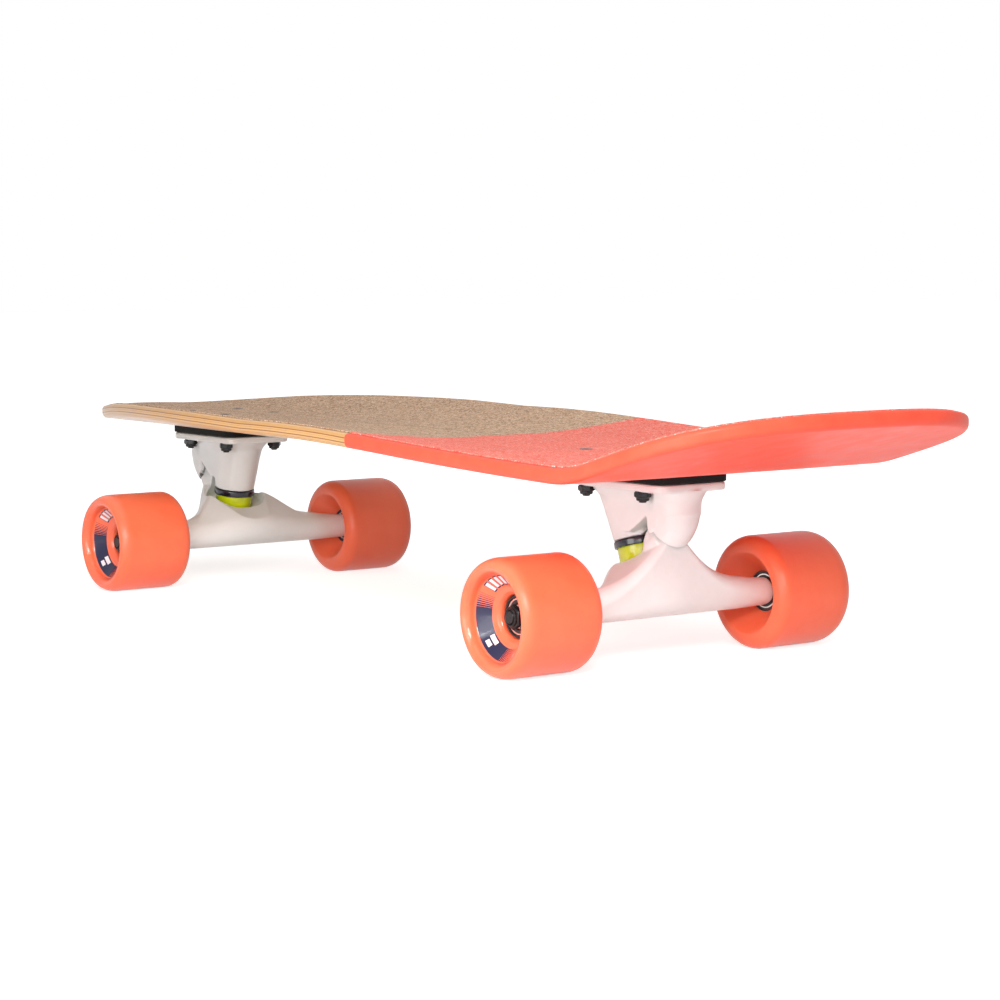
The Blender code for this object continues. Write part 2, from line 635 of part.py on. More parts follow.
def hanger_circles(truck, y):
    """The circles, as (x, z, radius), whose common outline is the hanger's section at y."""
    share = smooth((abs(y) / HANGER_END - ARM_TIP_SHARE) / (1 - ARM_TIP_SHARE))
    arm = ARM_RADIUS + (ARM_TIP_RADIUS - ARM_RADIUS) * share + BEAM_SWELL * reach(y, BEAM_SPREAD)
    drop = ARM_DROP + (ARM_TIP_RADIUS - ARM_DROP) * share
    circles = [(0, AXLE_HEIGHT - drop + arm, arm)]
    ridge = NECK_RIDGE_RADIUS + (ARM_TIP_RADIUS - NECK_RIDGE_RADIUS) * share
    ridge_top = ARM_TOP - (ARM_TOP - AXLE_HEIGHT - ARM_TIP_RADIUS) * share
    ridge_top += NECK_RISE * reach(y, truck.neck_spread, NECK_FALL)
    ridge_x = (truck.kingpin_x + NECK_LEAD) * reach(y, truck.ridge_spread)
    circles.append((ridge_x, ridge_top - ridge, ridge))
    swell = reach(y, truck.lobe_spread, RING_LOBE_FALL)
    lobe_x = (truck.kingpin_x - truck.lobe_offset) * swell
    lobe_top = ARM_TOP - (ARM_TOP - AXLE_HEIGHT - ARM_TIP_RADIUS) * share + truck.lobe_rise * swell
    circles.append((lobe_x, lobe_top - RING_LOBE_RADIUS, RING_LOBE_RADIUS))
    return circles


def outline_around(circles, y):
    """Points around circles that share one taut outline, one point for each direction."""
    points = []
    for k in range(HANGER_POINTS):
        turn = 2 * pi * k / HANGER_POINTS
        x, z, radius = max(circles, key=lambda c: c[0] * cos(turn) + c[1] * sin(turn) + c[2])
        points.append(Vector((x + radius * cos(turn), y, z + radius * sin(turn))))
    return points


def build_hanger(truck, material):
    """The arms, the ridge that climbs to the pivot pin, and the ring between the bushings."""
    steps = [k / HANGER_STATIONS for k in range(-HANGER_STATIONS, HANGER_STATIONS + 1)]
    stations = [HANGER_END * step * abs(step) ** HANGER_CROWDING for step in steps]
    rings = [outline_around(hanger_circles(truck, y), y) for y in stations]
    hanger = add_part(f"hanger_{truck.name}", skin("hanger", rings), material, truck.steering)

    tip = -CUP_MOUTH_REACH - NECK_GAP
    neck = turned("neck", [
        (NECK_ROOT_RADIUS, -NECK_LENGTH),
        (NECK_RADIUS, -CUP_MOUTH_REACH - NECK_CLEARANCE_LENGTH),
        (NECK_TIP_RADIUS, tip),
        (PIN_RADIUS, tip),
        (PIN_RADIUS, PIN_REACH - PIN_CHAMFER),
        (PIN_RADIUS - PIN_CHAMFER, PIN_REACH),
    ])
    tool = add_tool(f"neck_{truck.name}", neck, truck.steering, truck.pivot, truck.steer_turn)
    combine(hanger, tool, "UNION")

    seat = BUSHING_RADIUS + SEAT_WALL_GAP
    nut = KINGPIN_NUT_WIDTH / 2 / cos(pi / 6) + NUT_SWING_GAP
    washer = LOW_WASHER_RADIUS + SWING_GAP
    profile = [
        (BOWL_RADIUS + BOWL_FLARE, BOWL_HEIGHT, BOWL_STRETCH),
        (BOWL_RADIUS, 0, BOWL_STRETCH),
        (seat + SEAT_WALL_GAP, 2 * SEAT_DEPTH - RING_START, BOWL_STRETCH),
        (seat, SEAT_DEPTH - RING_START, BOWL_STRETCH),
        (seat, -RING_START, BOWL_STRETCH),
        (RING_HOLE_RADIUS, -RING_START, 1),
        (RING_HOLE_RADIUS, -RING_END, 1),
        (BUSHING_RADIUS + SWING_GAP, -RING_END, CAVITY_STRETCH),
        (washer, -KINGPIN_NUT_START - SEAT_DEPTH, CAVITY_STRETCH),
        (nut, -KINGPIN_NUT_START - SWING_GAP, CAVITY_STRETCH),
        (nut, -KINGPIN_END - BOSS_RADIUS, CAVITY_STRETCH),
    ]
    rings = [circle(radius, height, CUTTER_FACETS, stretch) for radius, height, stretch in profile]
    shift = Vector((BOWL_SHIFT, 0, 0))
    rings[:2] = [[point + shift for point in ring] for ring in rings[:2]]
    seats = skin("seats", rings)
    tool = add_tool(f"bushing_seats_{truck.name}", seats, truck.steering, truck.kingpin, truck.kingpin_turn)
    combine(hanger, tool, "DIFFERENCE")

    bore_radius = AXLE_RADIUS + SEAT_GAP
    bore = turned("axle bore", [(bore_radius, -AXLE_END), (bore_radius, AXLE_END)], SMALL_FACETS)
    tool = add_tool(f"axle_bore_{truck.name}", bore, truck.steering, (0, 0, AXLE_HEIGHT), side_turn(1))
    combine(hanger, tool, "DIFFERENCE")


def side_turn(side):
    """The turn that lays a shape made along Z along the axle, towards a side."""
    return (-side * pi / 2, 0, 0)


def build_axle(truck, materials):
    """The axle rod and the nut on each of its ends."""
    rod = turned("axle", [(AXLE_RADIUS, -AXLE_END), (AXLE_RADIUS, AXLE_END)], SMALL_FACETS)
    place = Vector((0, 0, AXLE_HEIGHT))
    add_part(f"axle_{truck.name}", rod, materials["steel"], truck.steering, place, side_turn(1))
    hole = AXLE_RADIUS + THREAD_GAP
    nut_end = AXLE_NUT_START + AXLE_NUT_HEIGHT
    nut = skin("axle nut", [
        circle(hole, AXLE_NUT_START, SMALL_FACETS),
        hexagon(AXLE_NUT_WIDTH, AXLE_NUT_START),
        hexagon(AXLE_NUT_WIDTH, nut_end),
        circle(hole, nut_end, SMALL_FACETS),
    ], tube=True)
    sleeve = turned("bearing sleeve", [
        (hole, CLAMP_END),
        (hole, -CLAMP_END),
        (SPEED_RING_RADIUS, -CLAMP_END),
        (SPEED_RING_RADIUS, -BEARING_FAR),
        (INNER_RACE_RADIUS, -BEARING_FAR),
        (INNER_RACE_RADIUS, -BEARING_NEAR),
        (SPACER_RADIUS, -BEARING_NEAR),
        (SPACER_RADIUS, BEARING_NEAR),
        (INNER_RACE_RADIUS, BEARING_NEAR),
        (INNER_RACE_RADIUS, BEARING_FAR),
        (SPEED_RING_RADIUS, BEARING_FAR),
        (SPEED_RING_RADIUS, CLAMP_END),
    ], SMALL_FACETS, tube=True)
    for side_name, side in truck.sides:
        middle = place + Vector((0, side * HUB_MIDDLE, 0))
        end = f"{truck.name}_{side_name}"
        turn = side_turn(side)
        add_part(f"axle_nut_{end}", nut, materials["black steel"], truck.steering, middle, turn)
        add_part(f"bearing_sleeve_{end}", sleeve, materials["steel"], truck.steering, middle, turn)


def wheel_mesh():
    """A soft wheel with a deep bowl outside, a cone inside and a bore for its core."""
    radius, face, edge = WHEEL_DIAMETER / 2, WHEEL_WIDTH / 2, WHEEL_EDGE
    bore = CORE_RADIUS + SEAT_GAP
    profile = arc(radius - edge, edge - face, edge, -pi / 2, 0)
    profile += arc(radius - edge, face - edge, edge, 0, pi / 2)
    profile += [
        (radius - edge - LIP_ROLL, face - LIP_ROLL),
        (BOWL_WALL_RADIUS, face - BOWL_WALL_DEPTH),
        (CONE_FOOT_RADIUS, face - CONE_FOOT_DEPTH),
        (HUB_LIP_RADIUS, face - HUB_LIP_DEPTH),
        (bore, face - HUB_MOUTH_DEPTH),
        (bore, HUB_OFFSET - CORE_END),
        (INNER_MOUTH_RADIUS, LIP_ROLL - face),
        (INNER_MOUTH_RADIUS + LIP_ROLL, -face),
    ]
    half_facet = pi / WHEEL_FACETS
    rings = [circle(r / cos(half_facet), height, WHEEL_FACETS) for r, height in profile]
    flat_down = Matrix.Rotation(half_facet, 4, "Z")
    return skin("wheel", [[flat_down @ point for point in ring] for ring in rings], tube=True)


def core_mesh():
    """The hard sleeve inside a wheel, with a seat at each end for a bearing."""
    shoulder = BEARING_SEAT - CORE_SHOULDER
    near = BEARING_NEAR - SEAT_GAP
    return turned("wheel core", [
        (CORE_RADIUS, -CORE_END),
        (CORE_RADIUS, CORE_END),
        (BEARING_SEAT, CORE_END),
        (BEARING_SEAT, near),
        (shoulder, near),
        (shoulder, -near),
        (BEARING_SEAT, -near),
        (BEARING_SEAT, -CORE_END),
    ], tube=True)


def race_mesh():
    """A bearing's outer race together with its shields."""
    outer, face = BEARING_DIAMETER / 2, BEARING_WIDTH / 2
    section = [(outer, -face), (outer, face), (SHIELD_HOLE, face), (SHIELD_HOLE, -face)]
    return turned("bearing race", section, tube=True)


def build_wheels(truck, meshes, materials):
    """A wheel on each end of the axle, with the core and the outer races that turn with it."""
    wheel, core, race = meshes
    for side_name, side in truck.sides:
        end = f"{truck.name}_{side_name}"
        turn = side_turn(side)
        middle = Vector((0, side * TRACK / 2, AXLE_HEIGHT))
        hub = Vector((0, side * HUB_MIDDLE, AXLE_HEIGHT))
        add_part(f"wheel_{end}", wheel, materials["coral urethane"], truck.steering, middle, turn)
        add_part(f"wheel_core_{end}", core, materials["black core"], truck.steering, hub, turn)
        for place_name, way in (("outer", 1), ("inner", -1)):
            place = hub + Vector((0, side * way * (BEARING_NEAR + BEARING_WIDTH / 2), 0))
            name = f"bearing_{end}_{place_name}"
            add_part(name, race, materials["bearing steel"], truck.steering, place, turn)


class Truck:
    """Where one truck stands, how its kingpin leans, and the frames that its parts hang on."""

    def __init__(self, name, axle_x, half_turn, kingpin_x, lean, boss_length, plate_offset, lobe, spreads):
        self.name = name
        self.boss_length = boss_length
        self.kingpin_x = kingpin_x
        self.plate_x = kingpin_x + plate_offset
        self.lobe_offset, self.lobe_rise = lobe
        self.neck_spread, self.ridge_spread, self.lobe_spread = spreads
        self.kingpin = Vector((kingpin_x, 0, PLATE_BOTTOM - boss_length))
        self.pivot = Vector((kingpin_x + PIVOT_OFFSET, 0, PLATE_BOTTOM - PIVOT_DROP))

        self.lean = lean
        self.kingpin_turn = (0, -lean, 0)
        self.head_end = (boss_length + PLATE_THICKNESS - KINGPIN_HEAD_SINK) / cos(lean)
        self.head_start = self.head_end - KINGPIN_HEAD_HEIGHT
        forward = PIVOT_OFFSET - RING_MIDDLE * sin(lean)
        above = boss_length - PIVOT_DROP + RING_MIDDLE * cos(lean)
        self.steer_turn = (0, atan2(forward, above), 0)

        self.frame = add_part(f"truck_{name}", None, None, place=(axle_x, 0, 0), turn=(0, 0, half_turn))
        self.steering = add_part(f"steering_axis_{name}", None, None, self.frame, self.pivot)
        left = 1 if half_turn else -1
        self.sides = (("left", left), ("right", -left))
        self.bolt_holes = build_bolt_holes(self)


def build():
    clear_scene()
    materials = {
        "coral urethane": make_material("coral urethane", (0.95, 0.17, 0.08), 0.35),
        "black core": make_material("black core", (0.015, 0.015, 0.016), 0.4),
        "white paint": make_material("white paint", (0.84, 0.76, 0.74), 0.35),
        "black steel": make_material("black steel", (0.02, 0.02, 0.022), 0.4, 0.6),
        "steel": make_material("steel", (0.55, 0.55, 0.57), 0.3, 1.0),
        "bearing steel": make_material("bearing steel", (0.45, 0.43, 0.42), 0.25, 1.0),
        "yellow urethane": make_material("yellow urethane", (0.55, 0.52, 0.01), 0.2),
        "blue-black washer": make_material("blue-black washer", (0.01, 0.012, 0.025), 0.15, 0.8),
        "black urethane": make_material("black urethane", (0.02, 0.02, 0.02), 0.5),
        "black rubber": make_material("black rubber", (0.012, 0.012, 0.013), 0.7),
        "lacquered maple": make_material("lacquered maple", (0.62, 0.36, 0.14), 0.25),
        "tan grip": make_material("tan grip", (0.46, 0.33, 0.24), 0.9),
        "coral grip": make_material("coral grip", (0.90, 0.20, 0.16), 0.85),
    }
    deck = build_deck(materials["lacquered maple"])
    grip_nose = build_grip("grip_tape_nose", materials["tan grip"], True)
    grip_tail = build_grip("grip_tape_tail", materials["coral grip"], False)
    rear = Truck(
        "rear", REAR_AXLE_X, 0,
        kingpin_x=REAR_KINGPIN_X,
        lean=REAR_KINGPIN_LEAN,
        boss_length=REAR_BOSS_LENGTH,
        plate_offset=REAR_PLATE_OFFSET,
        lobe=(REAR_LOBE_OFFSET, REAR_LOBE_RISE),
        spreads=(REAR_NECK_SPREAD, REAR_RIDGE_SPREAD, REAR_LOBE_SPREAD),
    )
    front = Truck(
        "front", FRONT_AXLE_X, pi,
        kingpin_x=FRONT_KINGPIN_X,
        lean=FRONT_KINGPIN_LEAN,
        boss_length=FRONT_BOSS_LENGTH,
        plate_offset=FRONT_PLATE_OFFSET,
        lobe=(FRONT_LOBE_OFFSET, FRONT_LOBE_RISE),
        spreads=(FRONT_NECK_SPREAD, FRONT_RIDGE_SPREAD, FRONT_LOBE_SPREAD),
    )
    wheel_meshes = (wheel_mesh(), core_mesh(), race_mesh())
    for truck in (rear, front):
        combine(deck, truck.bolt_holes, "DIFFERENCE")
        build_riser(truck, materials["black rubber"])
        build_baseplate(truck, materials["white paint"])
        build_bolts(truck, materials["black steel"])
        build_kingpin_stack(truck, materials)
        build_hanger(truck, materials["white paint"])
        build_axle(truck, materials)
        build_wheels(truck, wheel_meshes, materials)
    combine(grip_tail, rear.bolt_holes, "DIFFERENCE")
    combine(grip_nose, front.bolt_holes, "DIFFERENCE")


build()
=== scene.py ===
# %% [markdown]
# # A surfskate, finished for its photograph
#
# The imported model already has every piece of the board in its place. What it lacks is surface:
# it is made of flat facets in plain colours. The steps below give each piece what the real one
# has, such as maple plies and grit on the deck, soft painted castings on the trucks and clear
# coral urethane on the wheels.
#
# The first step loads that model as a frame. Nothing in it is moved later. Each piece is hidden
# behind a finer one in the same place.

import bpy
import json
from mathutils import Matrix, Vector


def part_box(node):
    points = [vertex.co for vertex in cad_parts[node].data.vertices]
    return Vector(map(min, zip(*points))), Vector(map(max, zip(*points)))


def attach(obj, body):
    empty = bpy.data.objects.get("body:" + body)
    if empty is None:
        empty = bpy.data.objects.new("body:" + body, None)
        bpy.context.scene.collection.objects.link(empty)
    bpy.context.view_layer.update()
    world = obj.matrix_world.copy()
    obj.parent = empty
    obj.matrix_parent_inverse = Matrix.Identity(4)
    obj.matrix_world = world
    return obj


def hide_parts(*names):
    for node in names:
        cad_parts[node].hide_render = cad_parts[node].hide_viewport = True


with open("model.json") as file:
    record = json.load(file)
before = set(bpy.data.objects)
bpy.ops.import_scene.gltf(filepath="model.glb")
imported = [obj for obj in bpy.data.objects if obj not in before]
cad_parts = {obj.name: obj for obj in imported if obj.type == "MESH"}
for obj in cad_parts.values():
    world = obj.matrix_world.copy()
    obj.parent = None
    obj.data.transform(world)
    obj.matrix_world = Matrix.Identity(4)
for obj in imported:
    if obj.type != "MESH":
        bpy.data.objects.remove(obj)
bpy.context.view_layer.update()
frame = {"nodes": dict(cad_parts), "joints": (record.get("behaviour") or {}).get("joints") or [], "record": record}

# %% The modules that the steps below use
import json
from math import atan2, cos, exp, pi, radians, sin, tan

import bmesh
import bpy
from mathutils import Matrix, Vector, noise

# %% [markdown]
# ## Shapes from rings
#
# Most of a skateboard is either turned, like a wheel or a washer, or drawn out along a line, like
# the deck or a truck's arm. Both kinds are a row of rings with a skin over them, so one helper
# serves for both. Blender's Screw modifier could turn a profile too, but a skin over rings also
# takes hexagons, threads and ovals.

# %% A skin over rings
SMOOTH_ANGLE = radians(32)
SAME_POINT = 0.000001


def to_mesh(name, shape):
    """The mesh of a bmesh, shaded smooth but for its sharp edges."""
    mesh = bpy.data.meshes.new(name)
    shape.to_mesh(mesh)
    shape.free()
    mesh.shade_smooth()
    mesh.set_sharp_from_angle(angle=SMOOTH_ANGLE)
    return mesh


def skin(name, rings, tube=False, caps=(True, True)):
    """A closed mesh through rings of equal point counts; a tube's last ring joins its first."""
    shape = bmesh.new()
    loops = [[shape.verts.new(point) for point in ring] for ring in rings]
    for loop, wanted in zip((loops[0], loops[-1]), caps):
        if wanted and not tube:
            shape.faces.new(loop)
    if tube:
        loops.append(loops[0])
    for near, far in zip(loops, loops[1:]):
        for k in range(len(near)):
            after = (k + 1) % len(near)
            shape.faces.new((near[k], near[after], far[after], far[k]))
    bmesh.ops.remove_doubles(shape, verts=shape.verts, dist=SAME_POINT)
    bmesh.ops.recalc_face_normals(shape, faces=shape.faces)
    return to_mesh(name, shape)


def circle(radius, height, count=96, stretch=1.0):
    turns = [2 * pi * k / count for k in range(count)]
    return [Vector((radius * cos(turn), radius * stretch * sin(turn), height)) for turn in turns]


def turned(name, profile, count=96, tube=True):
    """Turns a profile of (radius, height) points about Z."""
    return skin(name, [circle(radius, height, count) for radius, height in profile], tube)


# %% [markdown]
# A real edge is never quite sharp: a moulded or turned corner has a small radius that catches the
# light. A Bevel modifier could add it, but a profile that is rounded before it is turned keeps its
# rings even, and each corner can have a radius of its own.

# %% Rounded profiles
def eased(corners, steps=5, closed=True):
    """A profile through (radius, height, rounding) corners, with a small curve at each."""
    points = []
    count = len(corners)
    for k, (r, z, rounding) in enumerate(corners):
        here = Vector((r, z))
        before = Vector(corners[k - 1][:2]) - here
        after = Vector(corners[(k + 1) % count][:2]) - here
        end = not closed and k in (0, count - 1)
        if rounding == 0 or end:
            points.append((r, z))
            continue
        first = here + before.normalized() * min(rounding, before.length * 0.49)
        last = here + after.normalized() * min(rounding, after.length * 0.49)
        for step in range(steps + 1):
            share = step / steps
            near = first.lerp(here, share)
            far = here.lerp(last, share)
            points.append(tuple(near.lerp(far, share)))
    return points


# %% [markdown]
# ## Putting a piece in its place
#
# Each new piece rides on the body that the imported piece belongs to, and hides that piece.

# %% Add a piece
record = frame["record"]
members_of = record["behaviour"]["bodies"]
body_of = {name: body for body, members in members_of.items() for name in members}


def linked(name, data):
    """A new object in the scene."""
    thing = bpy.data.objects.new(name, data)
    bpy.context.scene.collection.objects.link(thing)
    return thing


def coated(mesh, *finishes):
    """A mesh with its finishes, one for each of its material slots."""
    for finish in finishes:
        mesh.materials.append(finish.material)
    return mesh


def add_piece(name, mesh, stands_for, matrix=Matrix()):
    """Adds a piece in the place of a packed one, on the same body."""
    piece = linked(name, mesh)
    piece.matrix_world = matrix
    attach(piece, body_of[stands_for])
    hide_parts(stands_for)
    return piece


def count_faces(name, mesh):
    print(name, "has", len(mesh.polygons), "faces")


# %% [markdown]
# ## Finishes from nodes
#
# A finish starts as one Principled shader. What varies over the surface, such as grain, grit or
# the marks of a lathe, comes from texture nodes that read the piece's own coordinates, so that it
# stays put when the piece turns. A small class keeps the node code short enough to read.

# %% A finish and its nodes
def screen(red, green, blue):
    """A colour as a screen shows it, 0 to 255, in the linear values that Blender works in."""
    shares = (red / 255, green / 255, blue / 255)
    return tuple(s / 12.92 if s <= 0.04045 else ((s + 0.055) / 1.055) ** 2.4 for s in shares)


class Finish:
    """A Principled material with short ways to add the nodes that feed it."""

    def __init__(self, name, color, roughness, **sockets):
        self.material = bpy.data.materials.new(name)
        self.material.use_nodes = True
        self.tree = self.material.node_tree
        self.shader = self.tree.nodes["Principled BSDF"]
        self.set("Base Color", color)
        self.set("Roughness", roughness)
        for socket, value in sockets.items():
            self.set(socket.replace("_", " "), value)

    def set(self, socket, value):
        self.feed(self.shader.inputs[socket], value)

    def feed(self, socket, value):
        if isinstance(value, bpy.types.NodeSocket):
            self.tree.links.new(value, socket)
        elif isinstance(value, tuple) and len(value) == 3 and socket.type == "RGBA":
            socket.default_value = (*value, 1)
        else:
            socket.default_value = value

    def node(self, kind, inputs=(), **settings):
        node = self.tree.nodes.new("ShaderNode" + kind)
        for key, value in settings.items():
            setattr(node, key, value)
        for socket, value in dict(inputs).items():
            self.feed(node.inputs[socket], value)
        return node

    def here(self, scale=(1, 1, 1)):
        """The piece's own coordinates, drawn out or in along each axis."""
        place = self.node("TexCoord").outputs["Object"]
        return self.node("Mapping", {"Vector": place, "Scale": scale}).outputs["Vector"]

    def split(self, vector=None):
        place = vector or self.node("TexCoord").outputs["Object"]
        return self.node("SeparateXYZ", {"Vector": place}).outputs

    def about_axis(self):
        """The distance from the piece's Z axis, and the three coordinates."""
        x, y, z = self.split()
        squares = self.calc("MULTIPLY_ADD", x, x, self.calc("MULTIPLY", y, y))
        return self.calc("SQRT", squares), x, y, z

    def noise(self, scale, detail=3.0, roughness=0.5, vector=None, distortion=0.0):
        inputs = {"Scale": scale, "Detail": detail, "Roughness": roughness}
        inputs.update({"Distortion": distortion, "Vector": vector or self.here()})
        return self.node("TexNoise", inputs).outputs["Fac"]

    def cells(self, scale, output="Distance"):
        return self.node("TexVoronoi", {"Vector": self.here(), "Scale": scale}).outputs[output]

    def calc(self, operation, *values):
        node = self.node("Math", operation=operation)
        for socket, value in zip(node.inputs, values):
            self.feed(socket, value)
        return node.outputs["Value"]

    def times(self, product, *others):
        for other in others:
            product = self.calc("MULTIPLY", product, other)
        return product

    def between(self, value, low, high, edge):
        """1 where a value lies between two limits, and 0 outside, with a soft edge."""
        shares = []
        for start, end in ((low - edge, low + edge), (high + edge, high - edge)):
            limits = {"Value": value, "From Min": start, "From Max": end}
            shares.append(self.node("MapRange", limits).outputs["Result"])
        return self.times(*shares)

    def ramp(self, value, stops, interpolation="LINEAR"):
        node = self.node("ValToRGB", {"Fac": value})
        node.color_ramp.interpolation = interpolation
        elements = node.color_ramp.elements
        while len(elements) < len(stops):
            elements.new(0.5)
        for element, (position, color) in zip(elements, stops):
            element.position = position
            element.color = (*color, 1) if isinstance(color, tuple) else (color, color, color, 1)
        return node.outputs["Color"]

    def vary(self, socket, value, *stops):
        """Lets a socket of the shader follow a value through a ramp."""
        self.set(socket, self.ramp(value, stops))

    def mix(self, share, first, second, blend="MIX"):
        node = self.node("Mix", data_type="RGBA", blend_type=blend)
        colors = [socket for socket in node.inputs if socket.type == "RGBA"]
        self.feed(node.inputs[0], share)
        self.feed(colors[0], first)
        self.feed(colors[1], second)
        return [socket for socket in node.outputs if socket.type == "RGBA"][0]

    def bump(self, *layers):
        """Raises the surface by (height, distance) layers, one over the other."""
        normal = None
        for height, distance in layers:
            inputs = {"Height": height, "Distance": distance, "Strength": 1.0}
            if normal:
                inputs["Normal"] = normal
            normal = self.node("Bump", inputs).outputs["Normal"]
        self.set("Normal", normal)

    def report(self):
        print(self.material.name, "has", len(self.tree.nodes), "nodes")


# %% [markdown]
# ## The deck
#
# A deck like this is pressed from seven sheets of maple. Its outline, its concave and its kick
# follow a few curves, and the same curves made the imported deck, so the finer one here lies exactly
# on it. The difference is in the number of slices, and in the rim, which gets a proper half-round.

# %% The deck's curves
SEAM_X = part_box("grip_tape_tail")[0].x
DECK_LENGTH, DECK_WIDTH, DECK_THICKNESS = 0.8425, 0.2392, 0.0092
DECK_BOTTOM, DECK_EDGE = 0.1146, 0.0034
TIP_X = DECK_LENGTH / 2
NOSE = (0.3195, 1.51, 1.89)  # the length, the power and the fullness of its curve
TAIL = (0.1020, 3.66, 2.65)
CAMBER_RISE, CAMBER_REACH = 0.0017, 0.18885
CONCAVE_DEPTH, CONCAVE_POWER, FLAT_HALF_WIDTH = 0.0094, 1.5, 0.0304
NOSE_DEEPER, NOSE_DEEPER_START, NOSE_DEEPER_LENGTH = 0.0092, -0.0475, 0.2500
TAIL_FADE_START, TAIL_FADE_LENGTH = -0.0170, 0.3600
KICK_START, KICK_BEND, KICK_SLOPE = 0.2899, 0.0314, tan(radians(16.4))


def smooth(share):
    """Eases from 0 to 1."""
    share = min(1.0, max(0.0, share))
    return share * share * (3 - 2 * share)


def half_width(x):
    """Half the deck's width at x, from its nose and tail curves."""
    width = DECK_WIDTH / 2
    for to_tip, (length, power, fullness) in ((x + TIP_X, NOSE), (TIP_X - x, TAIL)):
        into = max(0.0, 1 - to_tip / length)
        width *= max(0.0, 1 - into**power) ** (1 / fullness)
    return width


def deck_rise(x, y):
    """How far the deck's surface stands above its flat truck mounts at a point."""
    camber = CAMBER_RISE * smooth(1 - abs(x) / CAMBER_REACH)
    ramp = max(0.0, x - KICK_START)
    bent = ramp**2 / 2 / KICK_BEND if ramp < KICK_BEND else ramp - KICK_BEND / 2
    to_nose = min(1.0, max(0.0, (NOSE_DEEPER_START - x) / NOSE_DEEPER_LENGTH))
    to_tail = smooth((x - TAIL_FADE_START) / TAIL_FADE_LENGTH)
    depth = CONCAVE_DEPTH * (1 - to_tail) + NOSE_DEEPER * to_nose
    aside = max(0.0, abs(y) - FLAT_HALF_WIDTH) / (DECK_WIDTH / 2 - FLAT_HALF_WIDTH)
    return camber + KICK_SLOPE * bent + depth * aside**CONCAVE_POWER


def rim_point(x, inset):
    """The outline's point at x, moved in square to the outline."""
    if abs(x) >= TIP_X:
        return (x - inset if x > 0 else x + inset), 0.0
    step = min(0.000001, (TIP_X - abs(x)) / 2)
    slope = (half_width(x + step) - half_width(x - step)) / (2 * step)
    outward = Vector((-slope, 1)).normalized()
    return x - outward.x * inset, half_width(x) - outward.y * inset


print("the seam between the two grips is at x =", round(SEAM_X, 4))

# %% Slices of the deck
def slices(front, middle, end):
    """Places along the deck, closer together towards its two ends, with one on the seam."""
    places = [SEAM_X - (SEAM_X + TIP_X) * sin(pi / 2 * k / front) for k in range(front + 1)]
    places.reverse()
    places += [SEAM_X + (KICK_START - SEAM_X) * k / middle for k in range(1, middle)]
    places += [KICK_START + (TIP_X - KICK_START) * sin(pi / 2 * k / end) for k in range(end + 1)]
    return places


def across(width, steps):
    """Places across the deck: a flat middle strip and its rising sides."""
    flat = min(FLAT_HALF_WIDTH, width / 2)
    side = [flat + (width - flat) * k / steps for k in range(steps + 1)]
    return [-y for y in reversed(side)] + [0.0] + side


def slice_ring(x, bottom, edge, steps):
    """The outline of a slice, whose edge is a list of (inset, height) from the bottom up."""
    rim = [(*rim_point(x, inset), height) for inset, height in edge]
    lower_x, lower_y, low = rim[0]
    upper_x, upper_y, high = rim[-1]
    points = [(lower_x, y, low) for y in across(lower_y, steps)]
    points += rim[1:-1]
    points += [(upper_x, y, high) for y in reversed(across(upper_y, steps))]
    points += [(px, -y, height) for px, y, height in reversed(rim[1:-1])]
    return [Vector((px, y, bottom + deck_rise(px, y) + height)) for px, y, height in points]


def slab(name, places, bottom, edge, steps=16, caps=(False, False)):
    return skin(name, [slice_ring(x, bottom, edge, steps) for x in places], caps=caps)


print("the deck is", round(2 * half_width(0), 4), "m wide in the middle")

# %% [markdown]
# The rim's material needs to know how high up the deck's thickness each point lies, whatever the
# deck's curves do there. So the mesh carries that height as an attribute, from 0 at the underside
# to 1 on top, and a second material slot marks the rim itself.

# %% The deck's mesh
EDGE_STEPS = 7
turns = [pi / 2 * k / EDGE_STEPS for k in range(EDGE_STEPS + 1)]
low_edge = [(DECK_EDGE * (1 - sin(turn)), DECK_EDGE * (1 - cos(turn))) for turn in turns]
high_edge = [(inset, DECK_THICKNESS - height) for inset, height in reversed(low_edge)]
deck_mesh = slab("deck", slices(110, 30, 60), DECK_BOTTOM, low_edge + high_edge)

ply_height = deck_mesh.attributes.new("ply_height", "FLOAT", "POINT")
for vertex, value in zip(deck_mesh.vertices, ply_height.data):
    above = vertex.co.z - DECK_BOTTOM - deck_rise(vertex.co.x, vertex.co.y)
    value.value = above / DECK_THICKNESS
VENEER, PLIES, PAINT = range(3)
for face in deck_mesh.polygons:
    heights = [ply_height.data[k].value for k in face.vertices]
    on_rim = 0.001 < sum(heights) / len(heights) < 0.999
    face.material_index = PAINT if face.center.x > SEAM_X else PLIES if on_rim else VENEER
count_faces("the deck", deck_mesh)

# %% [markdown]
# The eight truck bolts go right through the deck and the grip. A Boolean modifier drills the
# holes, countersunk so that each head lies level with the grit. The grip's border is worn a little
# uneven by the knife and the sander, and that comes after the drilling, because a Boolean needs a
# clean border.

# %% Drill for the truck bolts
SEAT_GAP, GRIP_THICKNESS = 0.0003, 0.0008
GRIP_BOTTOM = DECK_BOTTOM + DECK_THICKNESS + SEAT_GAP
GRIP_TOP = GRIP_BOTTOM + GRIP_THICKNESS
BOLT_SHANK, BOLT_HEAD, HEAD_HEIGHT = 0.0024, 0.0044, 0.0024
COUNTERSINK = [
    (BOLT_SHANK, 0.09), (0.0026, GRIP_TOP - HEAD_HEIGHT), (0.0050, GRIP_TOP),
    (0.0052, GRIP_TOP + 0.004),
]
bolt_names = [name for name in frame["nodes"] if name.startswith("mounting_bolt")]
bolt_places = {name: (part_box(name)[0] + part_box(name)[1]) / 2 for name in bolt_names}


